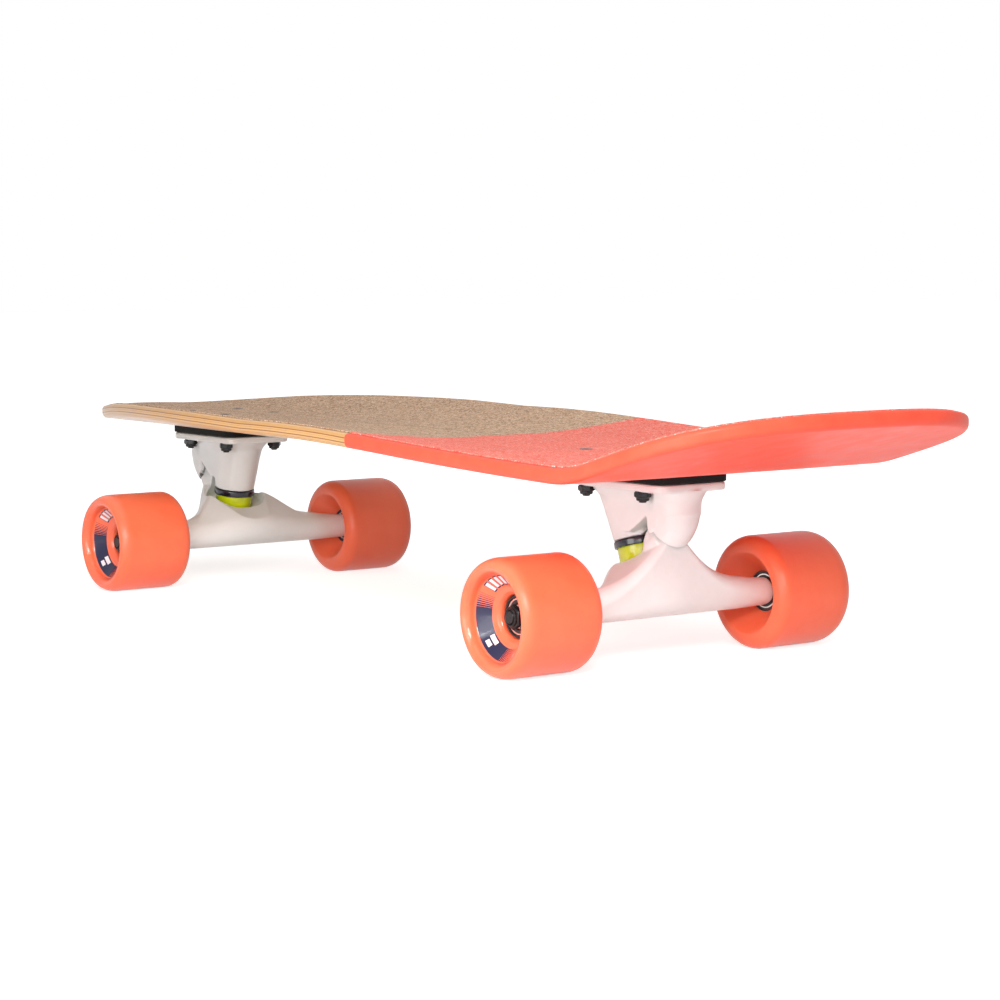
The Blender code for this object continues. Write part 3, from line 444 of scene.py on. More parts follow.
def moved(mesh, matrix):
    mesh.transform(matrix)
    return mesh


def boolean(piece, operation, mesh):
    """Adds a modifier that joins a closed mesh to an object, or cuts it away."""
    change = piece.modifiers.new(mesh.name, "BOOLEAN")
    change.object = linked("tool", mesh)
    change.operation = operation


def baked(piece):
    """The mesh that an object's modifiers make, with the object and its tools removed."""
    depsgraph = bpy.context.evaluated_depsgraph_get()
    mesh = bpy.data.meshes.new_from_object(piece.evaluated_get(depsgraph))
    for tool in [change.object for change in piece.modifiers if change.type == "BOOLEAN"]:
        bpy.data.objects.remove(tool)
    bpy.data.objects.remove(piece)
    return mesh


def drilled(mesh):
    """A sheet of the deck with the bolts' countersunk holes through it."""
    sheet = linked("sheet", mesh)
    along = [vertex.co.x for vertex in mesh.vertices]
    low, high = min(along), max(along)
    for place in bolt_places.values():
        if low < place.x < high:
            drill = turned("drill", COUNTERSINK, 32, tube=False)
            boolean(sheet, "DIFFERENCE", moved(drill, Matrix.Translation((place.x, place.y, 0))))
    return baked(sheet)


print(len(bolt_places), "bolts go through the deck")

# %% A border worn by the knife
BOLT_ROOM, SEAM_ROOM = 0.009, 0.001
FINE, COARSE = 900, 300


def ragged(mesh, depth):
    """Moves the border of a sheet in and out, as a knife and a sander leave it."""
    border = set()
    for face in mesh.polygons:
        middle = face.center
        far = all((middle.xy - place.xy).length > BOLT_ROOM for place in bolt_places.values())
        if abs(face.normal.z) < 0.5 and far and abs(middle.x - SEAM_X) > SEAM_ROOM:
            border.update(face.vertices)
    for k in border:
        place = mesh.vertices[k].co
        inward = Vector((-place.x * 0.3, -place.y, 0)).normalized()
        grain = noise.noise(Vector((place.x * FINE, place.y * FINE, 0)))
        grain += 0.6 * noise.noise(Vector((place.x * COARSE, place.y * COARSE, 5)))
        place += inward * depth * grain
    return mesh


# %% [markdown]
# ## The deck's finishes
#
# The nose half shows its maple under clear lacquer: a honey veneer with long grain, and at the rim
# the stack of plies, two of them stained dark. Long grain is noise that is drawn out along the
# board. The tail half is painted coral over the same wood, so a little of the grain still shows in
# the gloss.

# %% Lacquered maple
veneer = Finish(
    "lacquered_maple", screen(213, 165, 110), 0.40,
    Specular_IOR_Level=0.3, Coat_Weight=0.25, Coat_Roughness=0.12,
)
broad = veneer.noise(1.0, 5, 0.55, veneer.here((7, 85, 85)), distortion=0.6)
pores = veneer.noise(1.0, 2, 0.5, veneer.here((60, 1900, 1900)))
honey = veneer.ramp(broad, [
    (0.30, screen(186, 134, 82)), (0.50, screen(214, 166, 110)), (0.75, screen(230, 190, 138)),
])
streaks = veneer.ramp(pores, [(0.40, 0.80), (0.60, 1.0)])
veneer.set("Base Color", veneer.mix(0.55, honey, streaks, "MULTIPLY"))
veneer.vary("Roughness", pores, (0.3, 0.30), (0.7, 0.42))
veneer.bump((broad, 0.00006), (pores, 0.00004))
veneer.report()

# %% The plies at the rim
plies = Finish(
    "maple_plies", screen(205, 155, 100), 0.42,
    Specular_IOR_Level=0.3, Coat_Weight=0.2, Coat_Roughness=0.16,
)
height = plies.node("Attribute", attribute_name="ply_height").outputs["Fac"]
wander = plies.calc("MULTIPLY_ADD", plies.noise(22, 2), 0.05, -0.025)
level = plies.calc("ADD", height, wander)
light, dark = screen(216, 166, 106), screen(150, 92, 46)
tan_ply, glue = screen(204, 152, 92), screen(178, 124, 70)
sheets = plies.ramp(level, [
    (0.00, light), (0.13, tan_ply), (0.145, glue), (0.16, light), (0.30, dark), (0.37, light),
    (0.49, tan_ply), (0.505, glue), (0.52, light), (0.62, dark), (0.69, tan_ply), (0.84, light),
    (0.855, glue), (0.87, light),
], "CONSTANT")
end_grain = plies.noise(1.0, 3, 0.6, plies.here((240, 240, 2600)))
fibre = plies.ramp(end_grain, [(0.35, 0.80), (0.62, 1.0)])
plies.set("Base Color", plies.mix(0.4, sheets, fibre, "MULTIPLY"))
plies.vary("Roughness", end_grain, (0.3, 0.30), (0.7, 0.46))
plies.bump((end_grain, 0.00005))
plies.report()

# %% Coral paint
coral = Finish(
    "coral_paint", screen(255, 92, 68), 0.50,
    Specular_IOR_Level=0.14, Coat_Weight=0.05, Coat_Roughness=0.20,
)
ghost = coral.noise(1.0, 4, 0.5, coral.here((6, 90, 90)), distortion=0.5)
peel = coral.noise(380, 2, 0.5)
dust = coral.noise(70, 5, 0.6)
tone = coral.ramp(dust, [
    (0.35, screen(251, 87, 64)), (0.60, screen(255, 93, 69)), (0.80, screen(255, 99, 75)),
])
faint_grain = coral.ramp(ghost, [(0.4, 0.88), (0.6, 1.0)])
coral.set("Base Color", coral.mix(0.25, tone, faint_grain, "MULTIPLY"))
coral.vary("Roughness", dust, (0.3, 0.36), (0.7, 0.50))
coral.bump((ghost, 0.00004), (peel, 0.00002))
coral.report()

add_piece("deck_board", drilled(coated(deck_mesh, veneer, plies, coral)), "deck")

# %% [markdown]
# ## Grip
#
# Grip is grit glued to a thin film. Up close it is a field of tiny sharp grains, each with its own
# tilt, so some flash and most don't. Modelling the grains would take millions of faces. A cell
# texture does it with none: its distance raises the grains, and its random value per cell
# gives each one a shade and a gloss of its own, and a pale painted glint to a few of them.

# %% Two colours of grit
def grit(name, stops, glint_colour, line=None):
    """Grit over a film: a shade and gloss per grain, a faint unevenness all over, a few painted glints."""
    finish = Finish(name, stops[1][1], 0.85, Specular_IOR_Level=0.45)
    grains = finish.cells(1500)
    shade = finish.split(finish.cells(1500, "Color"))
    coarse = finish.split(finish.cells(620, "Color"))
    mottle = finish.ramp(finish.noise(24, 4, 0.6), [(0.35, 0.80), (0.65, 1.0)])
    both = finish.calc("MULTIPLY_ADD", coarse[0], 0.45, finish.times(shade[0], 0.55))
    tone = finish.mix(0.35, finish.ramp(both, stops), mottle, "MULTIPLY")
    # A few random grains get a pale colour: painted glints where the grit would flash.
    sparkle = finish.calc("GREATER_THAN", shade[1], 0.965)
    tone = finish.mix(sparkle, tone, glint_colour)
    if line:
        tone = line(finish, tone)
    finish.set("Base Color", tone)
    finish.vary("Roughness", shade[2], (0.0, 0.35), (0.12, 0.75), (1.0, 0.95))
    finish.bump((finish.calc("SUBTRACT", 1.0, grains), 0.00012))
    finish.report()
    return finish


def centre_line(finish, tone):
    """The dark hairline along the middle of the nose grip, where its two strips meet."""
    x, y, z = finish.split()
    wander = finish.calc("MULTIPLY_ADD", finish.noise(90, 2), 0.0006, -0.0003)
    on_line = finish.between(finish.calc("ADD", y, wander), -0.0006, 0.0006, 0.0002)
    return finish.mix(finish.times(on_line, 0.65), tone, screen(84, 62, 46))


TAN = [(0.15, screen(142, 106, 80)), (0.50, screen(204, 164, 132)), (0.85, screen(238, 206, 174))]
CORAL = [(0.15, screen(236, 84, 68)), (0.50, screen(255, 126, 108)), (0.85, screen(255, 160, 142))]
# The last colour of each grit is its painted glint, pale, on a few random grains.
tan_grit = grit("tan_grit", TAN, screen(246, 232, 214), centre_line)
coral_grit = grit("coral_grit", CORAL, screen(255, 214, 204))

# %% The grip sheets
GRIP_INSET = 0.0046
GRIP_EDGE = [(GRIP_INSET, 0), (GRIP_INSET, 0.0005), (GRIP_INSET + 0.0003, GRIP_THICKNESS)]
GRIP_WEAR = 0.0008
fine_places = slices(420, 120, 260)
nose_places = [x for x in fine_places if x < SEAM_X - 0.0002] + [SEAM_X - 0.0002]
tail_places = [SEAM_X + 0.0001] + [x for x in fine_places if x > SEAM_X + 0.0004]
for name, places, finish, caps in (
    ("grip_tape_nose", nose_places, tan_grit, (False, True)),
    ("grip_tape_tail", tail_places, coral_grit, (True, False)),
):
    mesh = slab(name, places, GRIP_BOTTOM - 0.0001, GRIP_EDGE, steps=10, caps=caps)
    mesh = ragged(drilled(coated(mesh, finish)), GRIP_WEAR)
    add_piece(f"{name}_sheet", mesh, name)
    count_faces(name, mesh)

# %% [markdown]
# ## The trucks' frames
#
# Both trucks share one design, turned end for end. So their pieces are modelled once more in a
# frame of their own, with its origin on the floor below the axle and +X towards the end of the
# deck, and then set down by a matrix. The steering joint in the record says where the hanger
# turns, which gives a check on that frame.

# %% Where each truck stands
AXLE_HEIGHT, PLATE_BOTTOM = 0.0350, 0.1030
PIVOT_AHEAD, PIVOT_HEIGHT = 0.0370, 0.0850
RING_MIDDLE, HEAD_SINK = 0.0178, 0.0025


class Truck:
    """Where a truck stands, how its kingpin leans, and the frames of its pieces."""

    def __init__(self, name, axle_x, half_turn, kingpin_x, boss_face, lean, plate_x, **shape):
        self.name = name
        self.kingpin_x = kingpin_x
        self.boss_face = boss_face
        self.head_end = (PLATE_BOTTOM - boss_face + HEAD_SINK) / cos(lean)
        self.lean = lean
        self.plate_x = plate_x
        self.shape = shape
        self.frame = Matrix.Translation((axle_x, 0, 0)) @ Matrix.Rotation(half_turn, 4, "Z")
        boss = Matrix.Translation((kingpin_x, 0, boss_face))
        self.kingpin = boss @ Matrix.Rotation(-lean, 4, "Y")
        ahead = PIVOT_AHEAD - RING_MIDDLE * sin(lean)
        above = PIVOT_HEIGHT - boss_face + RING_MIDDLE * cos(lean)
        place = Matrix.Translation((kingpin_x + PIVOT_AHEAD, 0, PIVOT_HEIGHT))
        self.pivot = place @ Matrix.Rotation(atan2(ahead, above), 4, "Y")


rear = Truck(
    "rear", 0.2445, 0, -0.0215, 0.0715, radians(16), -0.0115, neck_spread=0.0250,
    ridge_spread=0.0700, lobe_offset=0.0054, lobe_rise=0.0130, lobe_spread=0.0310,
    lobe_power=2.6, low_wall=0.0014,
)
front = Truck(
    "front", -0.2395, pi, 0.0225, 0.0675, radians(9), 0.0275, neck_spread=0.0240,
    ridge_spread=0.0300, lobe_offset=0.0, lobe_rise=0.0205, lobe_spread=0.0370,
    lobe_power=4.0, low_wall=0,
)
trucks = (rear, front)
joints = {joint["name"]: joint for joint in frame["joints"]}
for truck in trucks:
    here = (truck.frame @ truck.pivot).translation
    error = (here - Vector(joints[f"steer_{truck.name}"]["pos_m"])).length
    print(f"the {truck.name} truck's pivot is {error * 1000:.3f} mm from its joint")

# %% [markdown]
# ## Castings
#
# A truck is cast in aluminium and painted, so nothing on it has a hard edge: bosses flow into
# plates, and rims are round. That softness is hard to model face by face. It is easier to put hard
# shapes together with Booleans and then melt them: the Remesh modifier wraps the result in an even
# net of small squares, and the Smooth modifier relaxes that net, which rounds each edge and fills
# each inner corner.

# %% Melt shapes into a casting
NET = 0.0006


def cut_by(mesh, tool_mesh):
    """A closed mesh with another one cut away from it."""
    piece = linked("piece", mesh)
    boolean(piece, "DIFFERENCE", tool_mesh)
    return baked(piece)


def melt(name, base, steps, passes):
    """Joins and cuts closed shapes, one after the other, then remeshes and relaxes the result."""
    casting = linked(name, base)
    for operation, mesh in steps:
        boolean(casting, operation, mesh)
    net = casting.modifiers.new("net", "REMESH")
    net.mode = "VOXEL"
    net.voxel_size = NET
    relax = casting.modifiers.new("relax", "SMOOTH")
    relax.factor = 0.5
    relax.iterations = passes
    mesh = baked(casting)
    mesh.name = name
    mesh.shade_smooth()
    count_faces(name, mesh)
    return mesh


# %% White paint on a casting
white = Finish(
    "white_paint", (0.86, 0.88, 0.87), 0.40,
    Specular_IOR_Level=0.4, Coat_Weight=0.2, Coat_Roughness=0.16,
)
haze = white.noise(45, 5, 0.6)
peel = white.noise(420, 2, 0.5)
sand = white.noise(1700, 2, 0.5)
specks = white.calc("GREATER_THAN", white.noise(300, 2, 0.5), 0.74)
tone = white.ramp(haze, [(0.35, (0.84, 0.86, 0.85)), (0.65, (0.88, 0.90, 0.89))])
white.set("Base Color", white.mix(white.times(specks, 0.12), tone, screen(196, 184, 174)))
white.vary("Roughness", haze, (0.3, 0.28), (0.7, 0.42))
white.bump((peel, 0.00006), (sand, 0.000015))
white.report()

# %% [markdown]
# ### Baseplates
#
# A baseplate bolts to the deck. From it hang a leaning boss for the kingpin and a housing for the
# hanger's pivot, with a web between the two.

# %% The shapes of a baseplate
BOSS_RADIUS, BOSS_ROOT, BOSS_FLARE = 0.0146, 0.0192, 0.0042
COLUMN, COLUMN_FLARE, FLARE_START, FLARE_HEIGHT = 0.0142, 0.0034, 0.0925, 0.0115
PLATE = (0.0875, 0.0530, 0.0050)
PLATE_CORNER = 0.0070
BODY_TOP = PLATE_BOTTOM + 0.001


def plate(length, width, thickness, corner, edge):
    """A flat plate with round corners, its lower face at z = 0 and its edges eased."""
    rings = []
    for inset, height in ((edge, 0), (0, edge), (0, thickness - edge), (edge, thickness)):
        ring = []
        for quarter, (side_x, side_y) in enumerate(((1, 1), (-1, 1), (-1, -1), (1, -1))):
            for k in range(9):
                turn = (quarter + k / 8) * pi / 2
                x = side_x * (length / 2 - corner) + (corner - inset) * cos(turn)
                y = side_y * (width / 2 - corner) + (corner - inset) * sin(turn)
                ring.append(Vector((x, y, height)))
        rings.append(ring)
    return skin("plate", rings)


def boss_circle(truck, up):
    """The boss's (x, y, radius) at a height above its face: it leans and widens upwards."""
    share = up / (BODY_TOP - truck.boss_face)
    flare = BOSS_FLARE * smooth((share - 0.65) / 0.35) ** 2
    radius = BOSS_RADIUS + (BOSS_ROOT - BOSS_RADIUS) * share + flare
    return truck.kingpin_x - up * tan(truck.lean), 0, radius


def boss_shape(truck):
    rings = []
    for share in (0, 0.3, 0.6, 0.8):
        up = share * (PLATE_BOTTOM - truck.boss_face)
        x, y, radius = boss_circle(truck, up)
        lean = Matrix.Rotation(-truck.lean * (1 - share), 4, "Y")
        lean = Matrix.Translation((x, y, truck.boss_face + up)) @ lean
        rings.append([lean @ point for point in circle(radius, 0, 72)])
    return skin("boss", rings)


def taut(circles, count=72):
    """The points of a string pulled taut round circles of (across, up, radius), as pairs."""
    points = []
    for k in range(count):
        turn = 2 * pi * k / count
        across, up, radius = max(circles, key=lambda c: c[0] * cos(turn) + c[1] * sin(turn) + c[2])
        points.append((across + radius * cos(turn), up + radius * sin(turn)))
    return points


def body_shape(truck):
    """Boss and housing with the web between them, as a taut outline that flares to the plate."""
    low = (truck.pivot @ Vector((-0.0126, 0, -0.0250))).z
    rings = []
    for step in range(15):
        height = low + (BODY_TOP - low) * step / 14
        flare = COLUMN_FLARE * smooth((height - FLARE_START) / FLARE_HEIGHT) ** 2
        column = (truck.kingpin_x + PIVOT_AHEAD, 0, COLUMN + flare)
        outline = taut([boss_circle(truck, height - truck.boss_face), column], 96)
        rings.append([Vector((x, y, height)) for x, y in outline])
    return skin("body", rings)


for truck in trucks:
    radius = boss_circle(truck, PLATE_BOTTOM - truck.boss_face)[2]
    print(f"the {truck.name} boss widens to {2000 * radius:.1f} mm at the plate")

# %% [markdown]
# The housing bends from the upright column into the line of the pivot. Under it, and beside the
# hanger's neck, the casting is open, so that the neck has room to swing. A slanted slot runs up
# from there into the housing's wall. It is cut from the housing before that joins the rest,
# because a Boolean with fewer faces at once is a safer one.

# %% The pivot's housing
SLOT = [(-0.0126, -0.0235), (-0.0098, -0.0060), (-0.0035, -0.0112)]
WALL_SLOT = [
    (-0.0240, -0.0300), (-0.0126, -0.0235), (-0.0099, -0.0059), (-0.0036, -0.0111),
    (-0.0036, -0.0300),
]
ROOM_TOP, ROOM_LENGTH = 0.0890, 0.04
MOUTH_TAPER = 0.0011


def in_pivot_frame(truck, outline):
    places = [truck.pivot @ Vector((x, 0, z)) for x, z in outline]
    return [(place.x, place.z) for place in places]


def block(name, corners, half):
    """A block with an outline in the XZ plane, which reaches as far to both sides."""
    return skin(name, [[Vector((x, side * half, z)) for x, z in corners] for side in (-1, 1)])


def neck_room(truck):
    """What is cut away below the housing, with the slot beside the hanger's neck."""
    corners = in_pivot_frame(truck, [(-0.0126, -0.0450), *SLOT, (0.0, -0.0118)])
    middle = truck.kingpin_x + PIVOT_AHEAD
    corners += [(middle, ROOM_TOP), (middle + ROOM_LENGTH, ROOM_TOP)]
    corners.append((middle + ROOM_LENGTH, corners[0][1]))
    return block("neck room", corners, 0.03)


def housing_shape(truck):
    """The housing, with its part of the slot cut from it."""
    start = truck.pivot.translation + Vector((0, 0, 0.0120))
    bend = truck.pivot.translation
    mouth = truck.pivot @ Vector((0, 0, -0.0095))
    rings = []
    for k in range(17):
        share = k / 16
        place = start.lerp(bend, share).lerp(bend.lerp(mouth, share), share)
        way = (bend - start).lerp(mouth - bend, share)
        turn = Matrix.Translation(place) @ Matrix.Rotation(atan2(-way.x, -way.z), 4, "Y")
        rings.append([turn @ point for point in circle(COLUMN - MOUTH_TAPER * share**3, 0, 72)])
    return cut_by(skin("housing", rings), block("slot", in_pivot_frame(truck, WALL_SLOT), 0.031))


# %% Cast the baseplates
NUT_POCKET = [
    (0.0027, 0.12), (0.0027, PLATE_BOTTOM + 0.0003), (0.0062, PLATE_BOTTOM + 0.0003),
    (0.0062, PLATE_BOTTOM - 0.0112),
]
CUP_POCKET = [(0.0083, 0.0085), (0.0083, -0.0040), (0.0118, -0.0040), (0.0118, -0.0300)]
KINGPIN_BORE, POCKET_RADIUS, POCKET_DEPTH = 0.0051, 0.0077, 0.0051


def nut_pockets(truck):
    """The bolts' holes through the plate, each with a round pocket for its nut."""
    drills = []
    for name, place in bolt_places.items():
        if truck.name in name:
            local = truck.frame.inverted() @ Vector((place.x, place.y, 0))
            drill = turned("nut pocket", NUT_POCKET, 40, tube=False)
            drills.append(moved(drill, Matrix.Translation(local)))
    return drills


for truck in trucks:
    flange = plate(*PLATE, PLATE_CORNER, 0.0008)
    moved(flange, Matrix.Translation((truck.plate_x, 0, PLATE_BOTTOM)))
    seat = truck.head_end - POCKET_DEPTH
    bore = [(KINGPIN_BORE, -0.005), (KINGPIN_BORE, seat)]
    bore += [(POCKET_RADIUS, seat), (POCKET_RADIUS, 0.055)]
    steps = [("DIFFERENCE", neck_room(truck)), ("UNION", housing_shape(truck))]
    steps += [("UNION", boss_shape(truck)), ("UNION", flange)]
    for name, profile, place in (
        ("kingpin bore", bore, truck.kingpin), ("cup pocket", CUP_POCKET, truck.pivot),
    ):
        steps.append(("DIFFERENCE", moved(turned(name, profile, 48, tube=False), place)))
    steps += [("DIFFERENCE", drill) for drill in nut_pockets(truck)]
    node = f"baseplate_{truck.name}"
    casting = coated(melt(node, body_shape(truck), steps, 8), white)
    add_piece(f"baseplate_casting_{truck.name}", casting, node, truck.frame)

# %% [markdown]
# ### Hangers
#
# The hanger carries the axle. Its section at any place is the taut outline round three or four
# circles: the arm, the ridge that climbs to the pivot, the lobe that holds the bushings, and on the
# rear one a low wall beside the kingpin's nut. The circles swell towards the middle by smooth
# curves, so the whole casting does.

# %% The section of a hanger
HANGER_END = 0.0815
TAPER_START, TAPER_LENGTH = 0.65, 0.35  # as shares of the arm's length
ARM_RADIUS, ARM_TAPER, ARM_DROP = 0.0095, 0.0010, 0.0090
BEAM_SWELL, BEAM_SPREAD = 0.0040, 0.0300
ARM_TOP, NECK_RISE, NECK_FALL, NECK_LEAD = 0.0450, 0.0350, 1.35, 0.0275
RIDGE_RADIUS, RIDGE_THINNING, RIDGE_SHIFT, RIDGE_REACH = 0.0085, 0.0042, 0.0045, 0.0450
LOBE_RADIUS = 0.0085
WALL_X, WALL_RISE, WALL_RADIUS = -0.0255, 0.0065, 0.0083


def reach(y, spread, power=2.0):
    """Falls from 1 on the middle plane to 0 far from it."""
    return exp(-((abs(y) / spread) ** power))


def hanger_circles(truck, y):
    """The circles, as (x, z, radius), whose common outline is the hanger's section at y."""
    shape = truck.shape
    taper = smooth((abs(y) / HANGER_END - TAPER_START) / TAPER_LENGTH)
    arm = ARM_RADIUS - ARM_TAPER * taper + BEAM_SWELL * reach(y, BEAM_SPREAD)
    drop = ARM_DROP - 0.0005 * taper
    crest = ARM_TOP - 0.0015 * taper
    ridge = RIDGE_RADIUS - RIDGE_THINNING * reach(y, RIDGE_REACH)
    ridge_top = crest + NECK_RISE * reach(y, shape["neck_spread"], NECK_FALL)
    ridge_x = (truck.kingpin_x + NECK_LEAD) * reach(y, shape["ridge_spread"])
    ridge_x += RIDGE_SHIFT * reach(y, RIDGE_REACH)
    swell = reach(y, shape["lobe_spread"], shape["lobe_power"])
    lobe_x = (truck.kingpin_x - shape["lobe_offset"]) * swell
    lobe_top = crest + shape["lobe_rise"] * swell
    circles = [(0, AXLE_HEIGHT - drop + arm, arm), (ridge_x, ridge_top - ridge, ridge)]
    circles.append((lobe_x, lobe_top - LOBE_RADIUS, LOBE_RADIUS))
    if shape["low_wall"]:
        wall = WALL_RADIUS + shape["low_wall"] * swell
        circles.append((WALL_X * swell, AXLE_HEIGHT + WALL_RISE * swell, wall))
    return circles


# %% The neck and the bushings' seats
NECK = (  # (height, radius on the kingpin's side, radius on the far side), from the bottom up
    (-0.0300, 0.0100, 0.0105), (-0.0235, 0.0110, 0.0126), (-0.0190, 0.0112, 0.0128),
    (-0.0160, 0.0106, 0.0128), (-0.0126, 0.0093, 0.0123), (-0.0113, 0.0088, 0.0092),
    (-0.0055, 0.0080, 0.0080), (-0.0055, 0.0057, 0.0057), (0.0046, 0.0057, 0.0057),
    (0.0056, 0.0047, 0.0047),
)
BUSHING_SEATS = [  # (radius, height, stretch to the sides), from the top down
    (0.0236, 0.0300, 1.06), (0.0220, 0, 1.06), (0.0198, -0.0102, 1.06), (0.0160, -0.0124, 1.04),
    (0.0143, -0.0130, 1.0), (0.0141, -0.0148, 1.0), (0.0072, -0.0148, 1), (0.0072, -0.0208, 1),
    (0.0155, -0.0208, 1.36), (0.0128, -0.0325, 1.36), (0.0090, -0.0340, 1.36),
    (0.0090, -0.0560, 1.36),
]
BOWL_RINGS, BOWL_SHIFT = 3, -0.0015


def neck_shape(truck):
    """The neck under the pivot, drawn in on the kingpin's side, where the slot stays open."""
    rings = []
    for height, drawn_in, full in NECK:
        points = circle(1.0, height, 64)
        for point in points:
            radius = drawn_in + (full - drawn_in) * smooth((point.x + 0.25) / 0.60)
            point.x, point.y = point.x * radius, point.y * radius
        rings.append(points)
    return moved(skin("neck", rings), truck.pivot)


def bushing_seats(truck):
    """The bowl over the kingpin's ring, the hole in the ring and the room below it."""
    rings = [circle(radius, height, 72, stretch) for radius, height, stretch in BUSHING_SEATS]
    for ring in rings[:BOWL_RINGS]:
        for point in ring:
            point.x += BOWL_SHIFT
    return moved(skin("bushing seats", rings), truck.kingpin)


# %% The front cup's slanted rim
RIM_LENGTH, RIM_HALF_WIDTH, RIM_STEPS = 0.0700, 0.0480, (12, 24)


def rim_height(x, y):
    wings = 0.0040 * min(1.6, abs(y) / 0.0220) ** 2
    return 0.0525 + 0.42 * (x - 0.0030) + wings


def rim_cut():
    """What lies above the front cup's slanted rim, which stands higher on its two sides."""
    rings = []
    along, over = RIM_STEPS
    for k in range(along + 1):
        x = -0.0300 + RIM_LENGTH * k / along
        places = [-RIM_HALF_WIDTH + 2 * RIM_HALF_WIDTH * step / over for step in range(over + 1)]
        ring = [Vector((x, y, rim_height(x, y))) for y in places]
        rings.append(ring + [Vector((x, side * RIM_HALF_WIDTH, 0.12)) for side in (1, -1)])
    return skin("above the rim", rings)


# %% Cast the hangers
stations = [HANGER_END * step * abs(step) ** 0.2 for step in (k / 44 for k in range(-44, 45))]
AXLE_BORE = [(0.0043, -0.12), (0.0043, 0.12)]
lie_down = Matrix.Rotation(pi / 2, 4, "X")
for truck in trucks:
    arms = [[Vector((x, y, z)) for x, z in taut(hanger_circles(truck, y))] for y in stations]
    bore = turned("axle bore", AXLE_BORE, 40, tube=False)
    moved(bore, Matrix.Translation((0, 0, AXLE_HEIGHT)) @ lie_down)
    steps = [("DIFFERENCE", rim_cut())] if truck is front else []
    steps += [("UNION", neck_shape(truck)), ("DIFFERENCE", bushing_seats(truck))]
    steps += [("DIFFERENCE", bore)]
    node = f"hanger_{truck.name}"
    casting = coated(melt(node, skin("arms", arms), steps, 6), white)
    add_piece(f"hanger_casting_{truck.name}", casting, node, truck.frame)

# %% [markdown]
# ## Risers
#
# A hard rubber pad sits between each baseplate and the deck, to keep the wheels clear of it. It is
# black with a fine moulded grain.

# %% Riser pads
RISER = (0.0883, 0.0538, 0.0060)
RISER_BOTTOM = 0.1083
rubber = Finish("black_rubber", (0.010, 0.010, 0.010), 0.70, Specular_IOR_Level=0.15)
leather_grain = rubber.cells(1100)
scuffs = rubber.noise(60, 6, 0.65)
rubber.vary("Base Color", scuffs, (0.40, (0.006, 0.006, 0.006)), (0.75, (0.018, 0.017, 0.016)))
rubber.vary("Roughness", scuffs, (0.35, 0.62), (0.70, 0.80))
rubber.bump((leather_grain, 0.00003))
rubber.report()
for truck in trucks:
    pad = coated(plate(*RISER, PLATE_CORNER, 0.0005), rubber)
    place = truck.frame @ Matrix.Translation((truck.plate_x, 0, RISER_BOTTOM))
    add_piece(f"riser_block_{truck.name}", pad, f"riser_pad_{truck.name}", place)

# %% [markdown]
# ## Bolts, nuts and kingpins
#
# A hexagon's corners are always turned down to a chamfer. In each ring of the nut, every point
# lies either on the flats of the hexagon or on a circle that closes in towards the end face,
# whichever is nearer to the axis. That gives the curved edges that a real chamfer cuts across the
# flats.

# %% Black and bright steel
def add_turning_marks(finish, fine, depth):
    """Faint rings about the piece's own axis, as a lathe leaves them."""
    out, x, y, z = finish.about_axis()
    rings = finish.node("CombineXYZ", {"X": out, "Y": z}).outputs["Vector"]
    marks = finish.noise(fine, 2, 0.6, rings)
    finish.bump((marks, depth))
    return marks


black = Finish("black_steel", (0.022, 0.022, 0.024), 0.36, Metallic=0.7)
worn = black.noise(900, 4, 0.6)
black.vary("Base Color", worn, (0.35, (0.014, 0.014, 0.015)), (0.70, (0.040, 0.040, 0.042)))
black.vary("Roughness", worn, (0.30, 0.26), (0.70, 0.50))
black.bump((worn, 0.00002))
black.report()

steel = Finish("bright_steel", (0.60, 0.60, 0.61), 0.22, Metallic=1.0)
marks = add_turning_marks(steel, 5200, 0.00001)
steel.vary("Roughness", marks, (0.3, 0.16), (0.7, 0.34))
steel.report()

# %% Hexagons and threads
def hexagon(width, height, corner_limit, count=96):
    """A ring on a hexagon's flats, with its corners cut back to a circle."""
    ring = []
    for k in range(count):
        turn = 2 * pi * k / count
        to_flat = (turn + pi / 6) % (pi / 3) - pi / 6
        radius = min(width / 2 / cos(to_flat), corner_limit)
        ring.append(Vector((radius * cos(turn), radius * sin(turn), height)))
    return ring


def thread(radius, start, end, pitch, depth, count=48):
    """Rings of a screw thread: the radius goes in and out once a pitch, and turns as it goes."""
    rings = []
    steps = max(2, round(abs(end - start) / pitch * 6))
    for step in range(steps + 1):
        height = start + (end - start) * step / steps
        ring = []
        for k in range(count):
            phase = (height / pitch + k / count) % 1
            out = radius - depth * abs(2 * phase - 1)
            turn = 2 * pi * k / count
            ring.append(Vector((out * cos(turn), out * sin(turn), height)))
        rings.append(ring)
    return rings


CHAMFER = 0.0007


def lock_nut(name, width, hole, start, height, collar):
    """A nut with chamfered ends and a round collar that holds its locking ring."""
    corner, flat = width / 2 / cos(pi / 6), width / 2 * 0.97
    body, neck = height - collar, width * 0.44
    rings = [circle(hole, start), hexagon(width, start, flat)]
    for k in (1, 2, 3):
        limit = flat + (corner - flat) * k / 3
        rings.append(hexagon(width, start + CHAMFER * k / 3, limit))
    for k in (0, 1, 2, 3):
        limit = corner - (corner - flat) * k / 3
        rings.append(hexagon(width, start + body - CHAMFER * (3 - k) / 3, limit))
    for radius, share in (
        (neck, 0.10), (neck, 0.55), (neck * 0.95, 0.85), (neck * 0.82, 1), (hole + 0.0006, 1),
        (hole, 0.7),
    ):
        rings.append(circle(radius, start + body + collar * share))
    return skin(name, rings, tube=True)


# %% The truck bolts
SOCKET, SOCKET_DEPTH = 0.0030, 0.0018
BOLT_NUT = (0.0090, BOLT_SHANK, 0, 0.0056, 0.0020)


